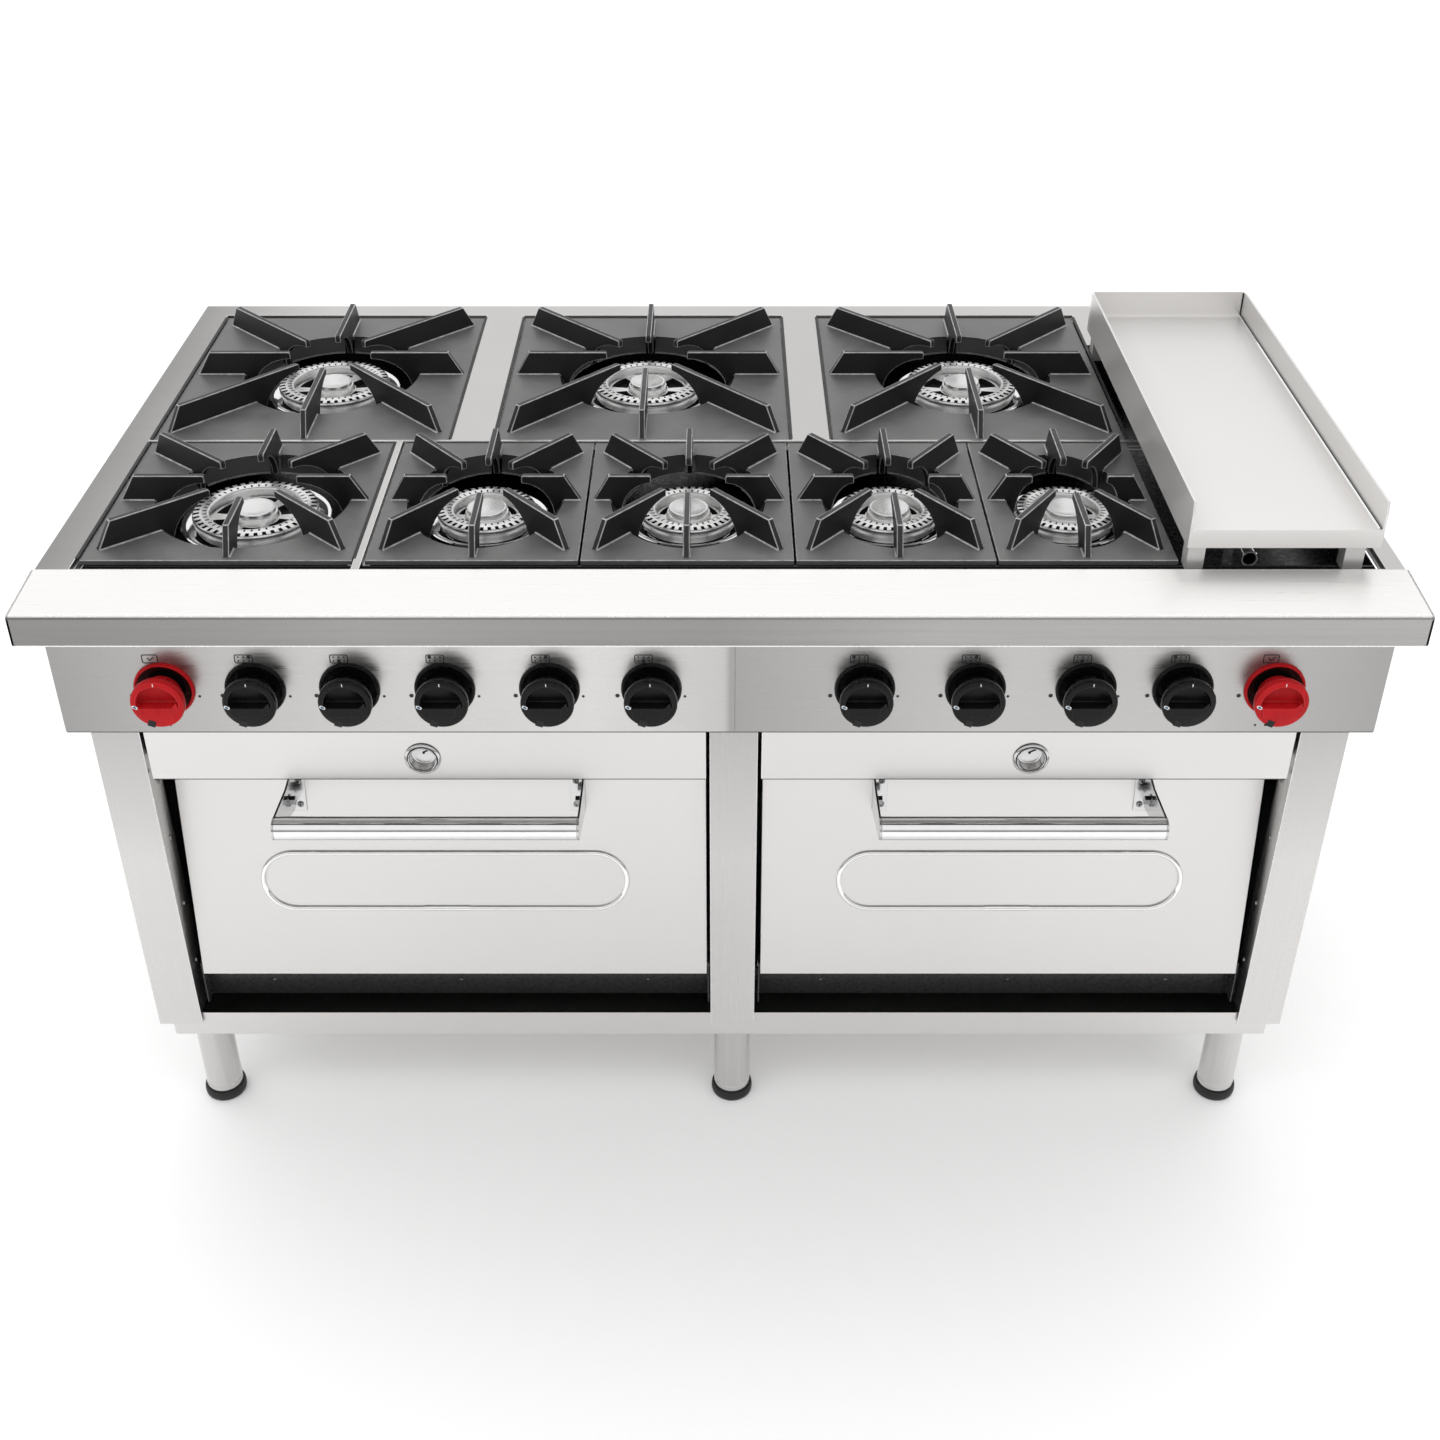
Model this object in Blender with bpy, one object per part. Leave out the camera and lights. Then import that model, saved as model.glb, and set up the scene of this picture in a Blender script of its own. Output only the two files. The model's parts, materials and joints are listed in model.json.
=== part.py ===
"""Commercial gas range: eight open burners, a griddle plate and two ovens on six legs.

Metres, +Z up, +X to the right and +Y to the back as the cook stands in front of it.
The origin is on the floor under the middle of the whole range.
"""
import math

import bmesh
import bpy
from mathutils import Matrix, Vector

# Whole range
WIDTH = 1.600
DEPTH = 0.940
WORKTOP_Z = 0.880
BODY_HALF = 0.776            # half width over the posts and the side panels
SHEET = 0.002                # stainless sheet
GAP = 0.0003                 # clearance between pieces that touch
FRONT = -DEPTH / 2
BACK = DEPTH / 2

# Legs and base
LEG_RADIUS = 0.0255
LEG_X = (-0.717, 0.017, 0.717)
LEG_Y = (-0.334, 0.401)
FOOT_RADIUS = 0.029
FOOT_HEIGHT = 0.017
FOOT_PLUG_TOP = 0.060        # the foot's plug slides in the leg tube
LEG_WALL = 0.002
BASE_HALF = 0.7595
BASE_FRONT = -0.369
BASE_BACK = 0.436
BASE_Z = (0.140, 0.180)

# Body
POST_FRONT = -0.374
POST_X = ((-0.776, -0.716), (-0.013, 0.047), (0.716, 0.776))
POST_BOTTOM = 0.163
POST_SHEET = 0.0025
POST_DEPTH = 0.044
POST_TOP = 0.805
BODY_TOP = 0.839
SIDE_FRONT = POST_FRONT + POST_DEPTH + GAP
BACK_PANEL_Y = (0.4365, 0.4385)

# Worktop
LEDGE_BACK = -0.373
LEDGE_DROP = 0.006
LEDGE_BOTTOM = 0.834
LEDGE_SHEET = 0.0025
DECK_FRONT = LEDGE_BACK + GAP
DECK_BOTTOM = 0.842
DECK_HALF = WIDTH / 2 - 0.003
WELL_X = (-0.757, 0.774)
WELL_Y = (-0.3707, 0.431)
ROW_BAR = (-0.022, -0.018)   # thin bar between the front row and the back row
FRONT_STRIP = (-0.430, -0.420)
BACK_STRIPS = ((-0.358, -0.301), (0.095, 0.147))
GRIDDLE_DECK_X = 0.5415      # the deck closes the corner behind the griddle
GRIDDLE_DECK_Y = 0.312
LIP_Z = 0.8717               # seat for the pan supports
LIP = 0.008

# Burner well
TRAY_Z = (0.806, 0.808)
TRAY_TOP = 0.8690
TRAY_X = (-0.754, 0.771)
TRAY_Y = (-0.3685, 0.4285)
FRONT_RIB = (-0.350, -0.347)
REAR_RIB = (0.279, 0.282)

# Pan supports and the burners under them
PLATE_TOP = 0.878
PLATE_THICK = 0.006
FIN_HEIGHT = 0.033
FIN_THICK = 0.008
FIN_NOSE = 0.010             # height of a fin's free end
FIN_SLOPE = 0.020            # length of the ramp at a fin's outer end
ARCH_STEPS = 6
WIDE_FIN_TIP = 0.057         # from the burner's centre to a fin's free end
NARROW_FIN_TIP = 0.046
DISH_STEP = 0.012
DISH_DEPTH = 0.019
DISH_MARGIN = 0.029          # least flat plate beside the dish
DISH_WIDEST = 0.124          # half width of the dish's upper rim
BACK_ROW_Y = (-0.017, 0.424)
FRONT_ROW_Y = (-0.3465, -0.0235)
GRATES = (                   # name, x range, y range, burner's x
    ("grate_back_left", (-0.753, -0.361), BACK_ROW_Y, -0.555),
    ("grate_back_middle", (-0.298, 0.092), BACK_ROW_Y, -0.104),
    ("grate_back_right", (0.150, 0.5385), BACK_ROW_Y, 0.347),
    ("grate_front_1", (-0.753, -0.4325), FRONT_ROW_Y, -0.582),
    ("grate_front_2", (-0.4175, -0.167), FRONT_ROW_Y, -0.2923),
    ("grate_front_3", (-0.164, 0.087), FRONT_ROW_Y, -0.0395),
    ("grate_front_4", (0.090, 0.325), FRONT_ROW_Y, 0.212),
    ("grate_front_5", (0.328, 0.5385), FRONT_ROW_Y, 0.4333),
)
BURNER_Y = {BACK_ROW_Y: 0.210, FRONT_ROW_Y: -0.187}
DISH_HALF_DEPTH = {BACK_ROW_Y: 0.140, FRONT_ROW_Y: 0.128}
LARGE_RING = 0.078
SMALL_RING = 0.062
RING_TOP = 0.866

# Griddle
GRIDDLE_X = (0.540, 0.764)
GRIDDLE_Y = (-0.368, 0.307)
GRIDDLE_Z = (0.906, 0.929)   # underside of the apron and cooking surface
GRIDDLE_PLATE = 0.012
GRIDDLE_WALL = 0.003
SPLASH_BACK = 0.964
SPLASH_FRONT = 0.949
GRIDDLE_FOOT_X = ((0.544, 0.564), (0.727, 0.750))
GRIDDLE_FOOT_Y = ((-0.360, -0.338), (0.270, 0.292))
TUBE_BURNER_X = 0.640
TUBE_BURNER_Y = (-0.292, 0.262)
TUBE_BURNER_Z = 0.850
TUBE_BURNER_RADIUS = 0.011

# Control panel and taps
PANEL_FRONT = -0.441
PANEL_BACK = POST_FRONT - GAP
PANEL_Z = (0.699, 0.860)
KNOB_Z = 0.760
KNOB_X = (-0.648, -0.542, -0.432, -0.321, -0.199, -0.080, 0.169, 0.298, 0.427, 0.540, 0.647)
KNOB_NAMES = (
    "knob_oven_left", "knob_burner_1", "knob_burner_2", "knob_burner_3", "knob_burner_4",
    "knob_burner_5", "knob_burner_6", "knob_burner_7", "knob_burner_8", "knob_griddle",
    "knob_oven_right",
)
KNOB_RADIUS = 0.031
KNOB_DEPTH = 0.038
RECESS_STEPS = 9             # segments of the finger recess's arc
STEM_RADIUS = 0.004
STEM_LENGTH = 0.024
TAP_RADIUS = 0.012
PIPE_RADIUS = 0.011
PIPE_SET_BACK = 0.040        # from the panel's face to the pipe's axis

# Ovens
LEAN = math.radians(8.2)     # the doors lean back at the top
HINGE_Y = -0.343
HINGE_Z = 0.247
DOOR_HALF_THICK = 0.016
DOOR_HEIGHT = 0.331          # above the hinge axis
DOOR_BELOW = 0.006           # below the hinge axis
HINGE_PIN = 0.004
HINGE_PIN_OUT = 0.004
DOOR_X = {"left": (-0.706, -0.018), "right": (0.055, 0.705)}
OVEN_INSET = 0.006
OVEN_Z = (0.262, 0.572)
OVEN_BACK = 0.380
OVEN_FRAME = 0.026           # width of the oven's front frame
FASCIA_X = {"left": (-0.711, -0.0175), "right": (0.0515, 0.711)}
FASCIA_Z = (0.582, 0.745)
FASCIA_RETURN = 0.018
SPYHOLE_X = {"left": -0.370, "right": 0.387}
SPYHOLE_Z = 0.613
SPYHOLE_RADIUS = 0.018       # of the cup that turns in the strip's hole
SPYHOLE_RIM = 0.0225
SPYHOLE_DEPTH = 0.0135
SPYHOLE_SLOT = ((-0.001, 0.010), (0.0015, 0.0050))
HANDLE_X = {"left": (-0.557, -0.175), "right": (0.198, 0.557)}
HANDLE_OUT = 0.116           # bar axis in front of the door's middle plane
HANDLE_UP = 0.277            # bar axis above the hinge, along the door
HANDLE_RADIUS = 0.015
HANDLE_WALL = 0.0025
HANDLE_ARM = 0.016
TRIM_X = {"left": (-0.611, -0.120), "right": (0.154, 0.616)}
TRIM_UP = (0.096, 0.188)
TRIM_WIDTH = 0.007
TRIM_PROUD = 0.0035
KICK_Y = (-0.3295, -0.3275)
KICK_TOP = 0.226
EAR_TOP = 0.259
EAR_FRONT = -0.356

COLOURS = {
    "stainless": ((0.62, 0.61, 0.59, 1.0), 0.32, 1.0),
    "polished": ((0.80, 0.80, 0.80, 1.0), 0.12, 1.0),
    "cast_black": ((0.035, 0.035, 0.037, 1.0), 0.45, 0.0),
    "black_enamel": ((0.012, 0.012, 0.013, 1.0), 0.30, 0.0),
    "galvanised": ((0.45, 0.46, 0.47, 1.0), 0.50, 1.0),
    "brass": ((0.62, 0.45, 0.19, 1.0), 0.35, 1.0),
    "burner_alloy": ((0.72, 0.72, 0.71, 1.0), 0.35, 1.0),
    "black_plastic": ((0.010, 0.010, 0.011, 1.0), 0.20, 0.0),
    "red_plastic": ((0.60, 0.020, 0.025, 1.0), 0.25, 0.0),
    "black_foot": ((0.015, 0.015, 0.016, 1.0), 0.50, 0.0),
}


def clear_scene():
    for item in list(bpy.data.objects):
        bpy.data.objects.remove(item, do_unlink=True)


def material(node, finish):
    colour, roughness, metallic = COLOURS[finish]
    made = bpy.data.materials.new(node + "_" + finish)
    made.use_nodes = True
    shader = made.node_tree.nodes["Principled BSDF"]
    shader.inputs["Base Color"].default_value = colour
    shader.inputs["Roughness"].default_value = roughness
    shader.inputs["Metallic"].default_value = metallic
    return made


def add_object(name, bm, finish, place=None, round_piece=False):
    """Link a mesh as an object; place is its world matrix, and the mesh is in that frame."""
    bmesh.ops.recalc_face_normals(bm, faces=bm.faces)
    mesh = bpy.data.meshes.new(name)
    bm.to_mesh(mesh)
    bm.free()
    if round_piece:
        mesh.shade_smooth()
        mesh.set_sharp_from_angle(angle=math.radians(35))
    made = bpy.data.objects.new(name, mesh)
    bpy.context.collection.objects.link(made)
    if finish:
        mesh.materials.append(material(name, finish))
    if place is not None:
        made.matrix_world = place
    return made


def add_tool(name, bm, place=None):
    """A helper solid for a Boolean: it isn't part of the range itself."""
    tool = add_object(name, bm, None, place)
    tool.hide_render = True
    tool.display_type = "WIRE"
    return tool


def boolean(target, tool, operation):
    modifier = target.modifiers.new(tool.name, "BOOLEAN")
    modifier.operation = operation
    modifier.solver = "EXACT"
    modifier.object = tool


def panels(name, finish, add, cut=(), place=None):
    """A body made of boxes ((x0, x1), (y0, y1), (z0, z1)), less the boxes in cut, as one skin."""
    planes = [sorted({round(v, 6) for box in (*add, *cut) for v in box[axis]}) for axis in range(3)]

    def inside(middle, boxes):
        return any(all(box[k][0] < middle[k] < box[k][1] for k in range(3)) for box in boxes)

    counts = [len(values) - 1 for values in planes]
    filled = set()
    for i in range(counts[0]):
        for j in range(counts[1]):
            for k in range(counts[2]):
                cell = (i, j, k)
                middle = [(planes[a][cell[a]] + planes[a][cell[a] + 1]) / 2 for a in range(3)]
                if inside(middle, add) and not inside(middle, cut):
                    filled.add(cell)
    bm = bmesh.new()
    corners = {}

    def corner(index):
        if index not in corners:
            corners[index] = bm.verts.new([planes[a][index[a]] for a in range(3)])
        return corners[index]

    for cell in sorted(filled):
        for axis in range(3):
            for side in (0, 1):
                beyond = list(cell)
                beyond[axis] += 2 * side - 1
                if tuple(beyond) in filled:
                    continue
                u, v = (axis + 1) % 3, (axis + 2) % 3
                loop = []
                for du, dv in ((0, 0), (1, 0), (1, 1), (0, 1)):
                    index = list(cell)
                    index[axis] += side
                    index[u] += du
                    index[v] += dv
                    loop.append(corner(tuple(index)))
                if side == 0:
                    loop.reverse()
                bm.faces.new(loop)
    bmesh.ops.dissolve_limit(bm, angle_limit=0.001, verts=bm.verts, edges=bm.edges)
    return add_object(name, bm, finish, place)


def prism(outline, start, end, bm=None):
    """Extrude a (y, z) outline along X from start to end, into bm when one is given."""
    bm = bm or bmesh.new()
    face = bm.faces.new([bm.verts.new((start, y, z)) for y, z in outline])
    moved = bmesh.ops.extrude_face_region(bm, geom=[face])["geom"]
    verts = [item for item in moved if isinstance(item, bmesh.types.BMVert)]
    bmesh.ops.translate(bm, verts=verts, vec=(end - start, 0, 0))
    return bm


def turned(profile, steps, bm=None, centre=(0, 0, 0)):
    """Spin a closed or axis-to-axis (radius, z) profile around a vertical axis at centre."""
    bm = bm or bmesh.new()
    verts = [bm.verts.new((centre[0] + r, centre[1], centre[2] + z)) for r, z in profile]
    edges = [bm.edges.new(pair) for pair in zip(verts, verts[1:])]
    bmesh.ops.spin(bm, geom=verts + edges, cent=centre, axis=(0, 0, 1),
                   angle=2 * math.pi, steps=steps, use_merge=True)
    bmesh.ops.remove_doubles(bm, verts=bm.verts, dist=1e-6)
    return bm


def ellipse(centre, half_axes, z, count):
    turns = (2 * math.pi * k / count for k in range(count))
    return [(centre[0] + half_axes[0] * math.cos(t), centre[1] + half_axes[1] * math.sin(t), z)
            for t in turns]


def stadium(x_range, z_range, y, arc_points):
    """A long round-ended loop in the XZ plane."""
    radius = (z_range[1] - z_range[0]) / 2
    middle = (z_range[0] + z_range[1]) / 2
    points = []
    for end_x, start in ((x_range[1] - radius, -math.pi / 2), (x_range[0] + radius, math.pi / 2)):
        for k in range(arc_points + 1):
            turn = start + math.pi * k / arc_points
            points.append((end_x + radius * math.cos(turn), y, middle + radius * math.sin(turn)))
    return points


def facing_front(x, y, z):
    """A frame whose local Z points to the cook and whose local Y points up."""
    return Matrix.Translation((x, y, z)) @ Matrix.Rotation(math.pi / 2, 4, "X")


def door_frame():
    """The doors' frame: on the hinge axis, with its XZ plane in the leaning door."""
    return Matrix.Translation((0, HINGE_Y, HINGE_Z)) @ Matrix.Rotation(-LEAN, 4, "X")


# Base, legs and feet

def make_base():
    x, t = BASE_HALF, SHEET
    front, back = BASE_FRONT, BASE_BACK
    bottom, top = BASE_Z
    base = panels("base_frame", "stainless",
                  [((-x, x), (front, back), (bottom, top))],
                  [((-x + t, x - t), (front + t, back - t), (bottom + t, top + t))])
    leg_bottom = FOOT_HEIGHT + GAP
    leg_top = bottom + t / 2
    bore = LEG_RADIUS - LEG_WALL
    bore_top = bottom - LEG_WALL
    profile = [(0, leg_top), (LEG_RADIUS, leg_top), (LEG_RADIUS, leg_bottom),
               (bore, leg_bottom), (bore, bore_top), (0, bore_top)]
    legs = bmesh.new()
    for leg_x in LEG_X:
        for leg_y in LEG_Y:
            turned(profile, 14, legs, (leg_x, leg_y, 0))
    boolean(base, add_tool("tool_legs", legs), "UNION")


def make_feet():
    plug = LEG_RADIUS - LEG_WALL - 2 * GAP
    profile = [(0, FOOT_PLUG_TOP), (plug, FOOT_PLUG_TOP), (plug, FOOT_HEIGHT),
               (FOOT_RADIUS - 0.003, FOOT_HEIGHT), (FOOT_RADIUS, FOOT_HEIGHT - 0.003),
               (FOOT_RADIUS - 0.002, 0), (0, 0)]
    for row, leg_y in zip(("front", "back"), LEG_Y):
        for column, leg_x in zip(("left", "middle", "right"), LEG_X):
            add_object(f"foot_{row}_{column}", turned(profile, 14), "black_foot",
                       Matrix.Translation((leg_x, leg_y, 0)), round_piece=True)


# Body

def make_posts():
    for name, (left, right) in zip(("post_left", "post_middle", "post_right"), POST_X):
        front, inner = POST_FRONT, POST_FRONT + POST_SHEET
        back = POST_FRONT + POST_DEPTH
        flange_z = (BASE_Z[1] + 0.001, POST_TOP)
        panels(name, "stainless", [
            ((left, right), (front, inner), (POST_BOTTOM, POST_TOP)),
            ((left, left + POST_SHEET), (front, back), flange_z),
            ((right - POST_SHEET, right), (front, back), flange_z),
        ])


def make_side_panels():
    """Side sheets with a foot flange and a flange that carries the burner tray."""
    back = BACK_PANEL_Y[1]
    bottom = BASE_Z[1] + GAP
    seat = TRAY_Z[0] - GAP
    return_width = 0.030
    for name, side in (("side_panel_left", -1), ("side_panel_right", 1)):
        outer = BODY_HALF

        def span(inner, outer):
            return tuple(sorted((side * inner, side * outer)))

        panels(name, "stainless", [
            (span(outer - SHEET, outer), (SIDE_FRONT, back), (bottom, BODY_TOP)),
            (span(outer - return_width, outer), (SIDE_FRONT, BASE_BACK), (bottom, bottom + SHEET)),
            (span(outer - return_width, outer), (SIDE_FRONT, BASE_BACK), (seat - SHEET, seat)),
        ])


def make_back_panel():
    half = BODY_HALF - SHEET - GAP
    panels("back_panel", "galvanised", [
        ((-half, half), BACK_PANEL_Y, (BASE_Z[1] + GAP, BODY_TOP)),
    ])


def make_kick_panel():
    """Black strip under the doors; its forward ears carry the doors' hinge pins."""
    half = 0.7135
    ears = []
    for left, right in DOOR_X.values():
        for inner, outer in ((left - 0.001, left - 0.003), (right + 0.001, right + 0.003)):
            ears.append((tuple(sorted((inner, outer))), (EAR_FRONT, KICK_Y[1]),
                         (BASE_Z[1] + 0.008, EAR_TOP)))
    kick = panels("kick_panel", "black_enamel",
                  [((-half, half), KICK_Y, (BASE_Z[1] + GAP, KICK_TOP)), *ears])
    drill = turned([(0, 1.5), (HINGE_PIN + 0.0006, 1.5), (HINGE_PIN + 0.0006, 0), (0, 0)], 12)
    place = Matrix.Translation((-0.75, HINGE_Y, HINGE_Z)) @ Matrix.Rotation(math.pi / 2, 4, "Y")
    boolean(kick, add_tool("tool_hinge_holes", drill, place), "DIFFERENCE")


# Worktop

def make_front_ledge():
    """Bullnose ledge: a folded sheet with closed ends, open underneath and at the back."""
    top, bottom = WORKTOP_Z, LEDGE_BOTTOM
    fold = 0.003
    outline = [(LEDGE_BACK, top), (FRONT + fold, top - LEDGE_DROP + fold / 2),
               (FRONT, top - LEDGE_DROP - fold), (FRONT, bottom + fold), (FRONT + fold, bottom),
               (LEDGE_BACK, bottom)]
    t = LEDGE_SHEET
    lip_back = PANEL_FRONT - 0.002
    hollow = [(LEDGE_BACK + t, top - t), (FRONT + t, top - LEDGE_DROP - t), (FRONT + t, bottom + t),
              (lip_back, bottom + t), (lip_back, bottom - t), (LEDGE_BACK + t, bottom - t)]
    half = WIDTH / 2
    ledge = add_object("front_ledge", prism(outline, -half, half), "stainless")
    inner = add_tool("tool_ledge_hollow", prism(hollow, -half + t, half - t))
    boolean(ledge, inner, "DIFFERENCE")


def make_worktop_frame():
    """Deck around the wells with a rim outside and a seat for the pan supports inside."""
    half, top, t = DECK_HALF, WORKTOP_Z, SHEET
    (left, right), (front, back) = WELL_X, WELL_Y
    deck = (top - t, top)
    rim = (DECK_BOTTOM, top)
    web = (LIP_Z - t, top)
    lip_z = (LIP_Z - t, LIP_Z)
    boxes = [
        ((-half, left), (DECK_FRONT, BACK), deck),
        ((right, half), (DECK_FRONT, BACK), deck),
        ((left, right), (back, BACK), deck),
        ((left, right), (DECK_FRONT, front), deck),
        ((-half, -half + t), (DECK_FRONT, BACK), rim),
        ((half - t, half), (DECK_FRONT, BACK), rim),
        ((-half, half), (BACK - t, BACK), rim),
        ((-half, half), (DECK_FRONT, front), rim),
        ((left - t, left), (front, back), web),
        ((right, right + t), (front, back), web),
        ((left - t, right + t), (back, back + t), web),
        ((GRIDDLE_DECK_X, right), (GRIDDLE_DECK_Y, back), deck),
        ((GRIDDLE_DECK_X, GRIDDLE_DECK_X + t), (GRIDDLE_DECK_Y, back), web),
        ((GRIDDLE_DECK_X, right), (GRIDDLE_DECK_Y, GRIDDLE_DECK_Y + t), web),
        ((left, left + LIP), (front, back), lip_z),
        ((right - LIP / 4, right), (front, back), lip_z),
        ((left, right), (back - LIP, back), lip_z),
    ]
    bars = [((left, right), ROW_BAR), (FRONT_STRIP, (front, ROW_BAR[0]))]
    bars += [(strip, (ROW_BAR[1], back)) for strip in BACK_STRIPS]
    for x_range, y_range in bars:
        boxes.append((x_range, y_range, deck))
        if x_range[1] - x_range[0] > y_range[1] - y_range[0]:
            middle = (y_range[0] + y_range[1]) / 2
            boxes.append((x_range, (middle - t / 2, middle + t / 2), web))
            boxes.append((x_range, (y_range[0] - LIP, y_range[1] + LIP), lip_z))
        else:
            seated = (max(y_range[0], FRONT_RIB[1] + GAP), y_range[1])
            boxes.append((x_range, seated, web))
            boxes.append(((x_range[0] - LIP, x_range[1] + LIP), seated, lip_z))
    panels("worktop_frame", "stainless", boxes)


def make_burner_tray():
    """Black enamelled well under the burners, with two ribs that hold grates and griddle."""
    (left, right), (front, back), t = TRAY_X, TRAY_Y, SHEET
    floor, top = TRAY_Z[0], TRAY_TOP
    rib_z = (floor, LIP_Z)
    panels("burner_tray", "black_enamel", [
        ((left, right), (front, back), TRAY_Z),
        ((left, left + t), (front, back), (floor, top)),
        ((right - t, right), (front, back), (floor, top)),
        ((left, right), (front, front + t), (floor, top)),
        ((left, right), (back - t, back), (floor, top)),
        ((WELL_X[0] + LIP + GAP, right - t), FRONT_RIB, rib_z),
        ((GRIDDLE_X[0], right - t), REAR_RIB, rib_z),
    ])


# Burners and pan supports

def make_burner(name, centre, ring):
    """One turned casting: foot, bowl, drilled ring and raised middle."""
    foot_z = TRAY_Z[1] + GAP
    top = RING_TOP
    profile = [(0, top + 0.001), (0.026, top), (0.028, top - 0.011),
               (ring - 0.026, top - 0.009), (ring - 0.022, top), (ring - 0.003, top),
               (ring, top - 0.004), (ring - 0.003, top - 0.016), (ring + 0.013, top - 0.021),
               (ring, foot_z + 0.012), (0.040, foot_z), (0, foot_z)]
    add_object(name, turned(profile, 16), "burner_alloy", Matrix.Translation((*centre, 0)),
               round_piece=True)


def grate_plate(x_range, y_range, centre, half_axes):
    """Flat plate whose round opening is dished downwards."""
    count = 24
    top, under = PLATE_TOP, PLATE_TOP - PLATE_THICK
    inner = tuple(value - DISH_STEP for value in half_axes)
    bm = bmesh.new()

    def ring(points):
        return [bm.verts.new(point) for point in points]

    def rectangle(z):
        x, y = x_range, y_range
        return ring([(x[0], y[0], z), (x[1], y[0], z), (x[1], y[1], z), (x[0], y[1], z)])

    def join(first, second):
        for k in range(len(first)):
            after = (k + 1) % len(first)
            bm.faces.new((first[k], first[after], second[after], second[k]))

    def flat(outer, hole):
        edges = []
        for loop in (outer, hole):
            for k in range(len(loop)):
                pair = (loop[k], loop[(k + 1) % len(loop)])
                edges.append(bm.edges.get(pair) or bm.edges.new(pair))
        bmesh.ops.triangle_fill(bm, use_beauty=True, edges=edges, normal=(0, 0, 1))

    outer_top, outer_under = rectangle(top), rectangle(under)
    rim_top = ring(ellipse(centre, half_axes, top, count))
    rim_under = ring(ellipse(centre, half_axes, under, count))
    edge_top = ring(ellipse(centre, inner, top - DISH_DEPTH, count))
    edge_under = ring(ellipse(centre, inner, under - DISH_DEPTH, count))
    join(outer_top, outer_under)
    join(rim_top, edge_top)
    join(edge_top, edge_under)
    join(edge_under, rim_under)
    flat(outer_top, rim_top)
    flat(outer_under, rim_under)
    return bm


def fin_outline(rim, wall_foot, reach, tip):
    """Distance and height of a fin's corners: it arches from the foot of the dish wall to its tip."""
    base = PLATE_TOP - PLATE_THICK / 2
    top = PLATE_TOP + FIN_HEIGHT
    leg = wall_foot + 0.0015
    foot_z = base - DISH_DEPTH + 0.0024
    nose_z = top - FIN_NOSE
    outline = []
    for k in range(ARCH_STEPS + 1):
        turn = math.pi / 2 * k / ARCH_STEPS
        outline.append((tip + (leg - tip) * math.sin(turn), foot_z + (nose_z - foot_z) * math.cos(turn)))
    return outline + [(rim, base), (reach, base), (reach - FIN_SLOPE, top), (tip + 0.003, top)]


def grate_fins(x_range, y_range, centre, half_axes, tip):
    """Eight upright fins that point at the burner, as loose solids for a union."""
    inner = tuple(value - DISH_STEP for value in half_axes)
    edge, corner_x, corner_y = 0.006, 0.014, 0.026
    ends = []
    for sx in (-1, 0, 1):
        for sy in (-1, 0, 1):
            if sx == 0 and sy == 0:
                continue
            inset_x, inset_y = (corner_x, corner_y) if sx and sy else (edge, edge)
            x = centre[0] if sx == 0 else x_range[(sx + 1) // 2] - sx * inset_x
            y = centre[1] if sy == 0 else y_range[(sy + 1) // 2] - sy * inset_y
            ends.append((x, y))
    bm = bmesh.new()
    for x, y in ends:
        out = Vector((x - centre[0], y - centre[1], 0))
        reach = out.length
        out.normalize()
        across = Vector((-out.y, out.x, 0)) * FIN_THICK / 2
        rim, wall_foot = (1 / math.hypot(out.x / a, out.y / b) for a, b in (half_axes, inner))
        outline = fin_outline(rim, wall_foot, reach, tip)
        middle = Vector((*centre, 0))
        loop = [bm.verts.new(middle + out * r - across + Vector((0, 0, z))) for r, z in outline]
        moved = bmesh.ops.extrude_face_region(bm, geom=[bm.faces.new(loop)])["geom"]
        verts = [item for item in moved if isinstance(item, bmesh.types.BMVert)]
        bmesh.ops.translate(bm, verts=verts, vec=2 * across)
    return bm


def make_cooking_places():
    for name, x_range, y_range, burner_x in GRATES:
        half_width = min(DISH_WIDEST, min(burner_x - x_range[0], x_range[1] - burner_x) - DISH_MARGIN)
        half_axes = (half_width, DISH_HALF_DEPTH[y_range])
        centre = (burner_x, BURNER_Y[y_range])
        wide = x_range[1] - x_range[0] > 0.3
        make_burner(name.replace("grate", "burner"), centre, LARGE_RING if wide else SMALL_RING)
        grate = add_object(name, grate_plate(x_range, y_range, centre, half_axes), "cast_black")
        tip = WIDE_FIN_TIP if wide else NARROW_FIN_TIP
        fins = add_tool("tool_fins_" + name, grate_fins(x_range, y_range, centre, half_axes, tip))
        boolean(grate, fins, "UNION")


def make_griddle():
    (left, right), (front, back) = GRIDDLE_X, GRIDDLE_Y
    bottom, surface = GRIDDLE_Z
    t = GRIDDLE_WALL
    boxes = [
        ((left, right), (front, back), (surface - GRIDDLE_PLATE, surface)),
        ((left, right), (front, front + t), (bottom, surface)),
        ((left, left + t), (front, back), (bottom, SPLASH_BACK)),
        ((right - t, right), (front, back), (bottom, SPLASH_BACK)),
        ((left, right), (back - t, back), (bottom, SPLASH_BACK)),
    ]
    for foot_x in GRIDDLE_FOOT_X:
        for foot_y in GRIDDLE_FOOT_Y:
            boxes.append((foot_x, foot_y, (LIP_Z + GAP, surface - GRIDDLE_PLATE)))
    griddle = panels("griddle_plate", "polished", boxes)
    for vert in griddle.data.vertices:
        if vert.co.z > SPLASH_BACK - GAP and vert.co.y < front + GAP:
            vert.co.z = SPLASH_FRONT


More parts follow.
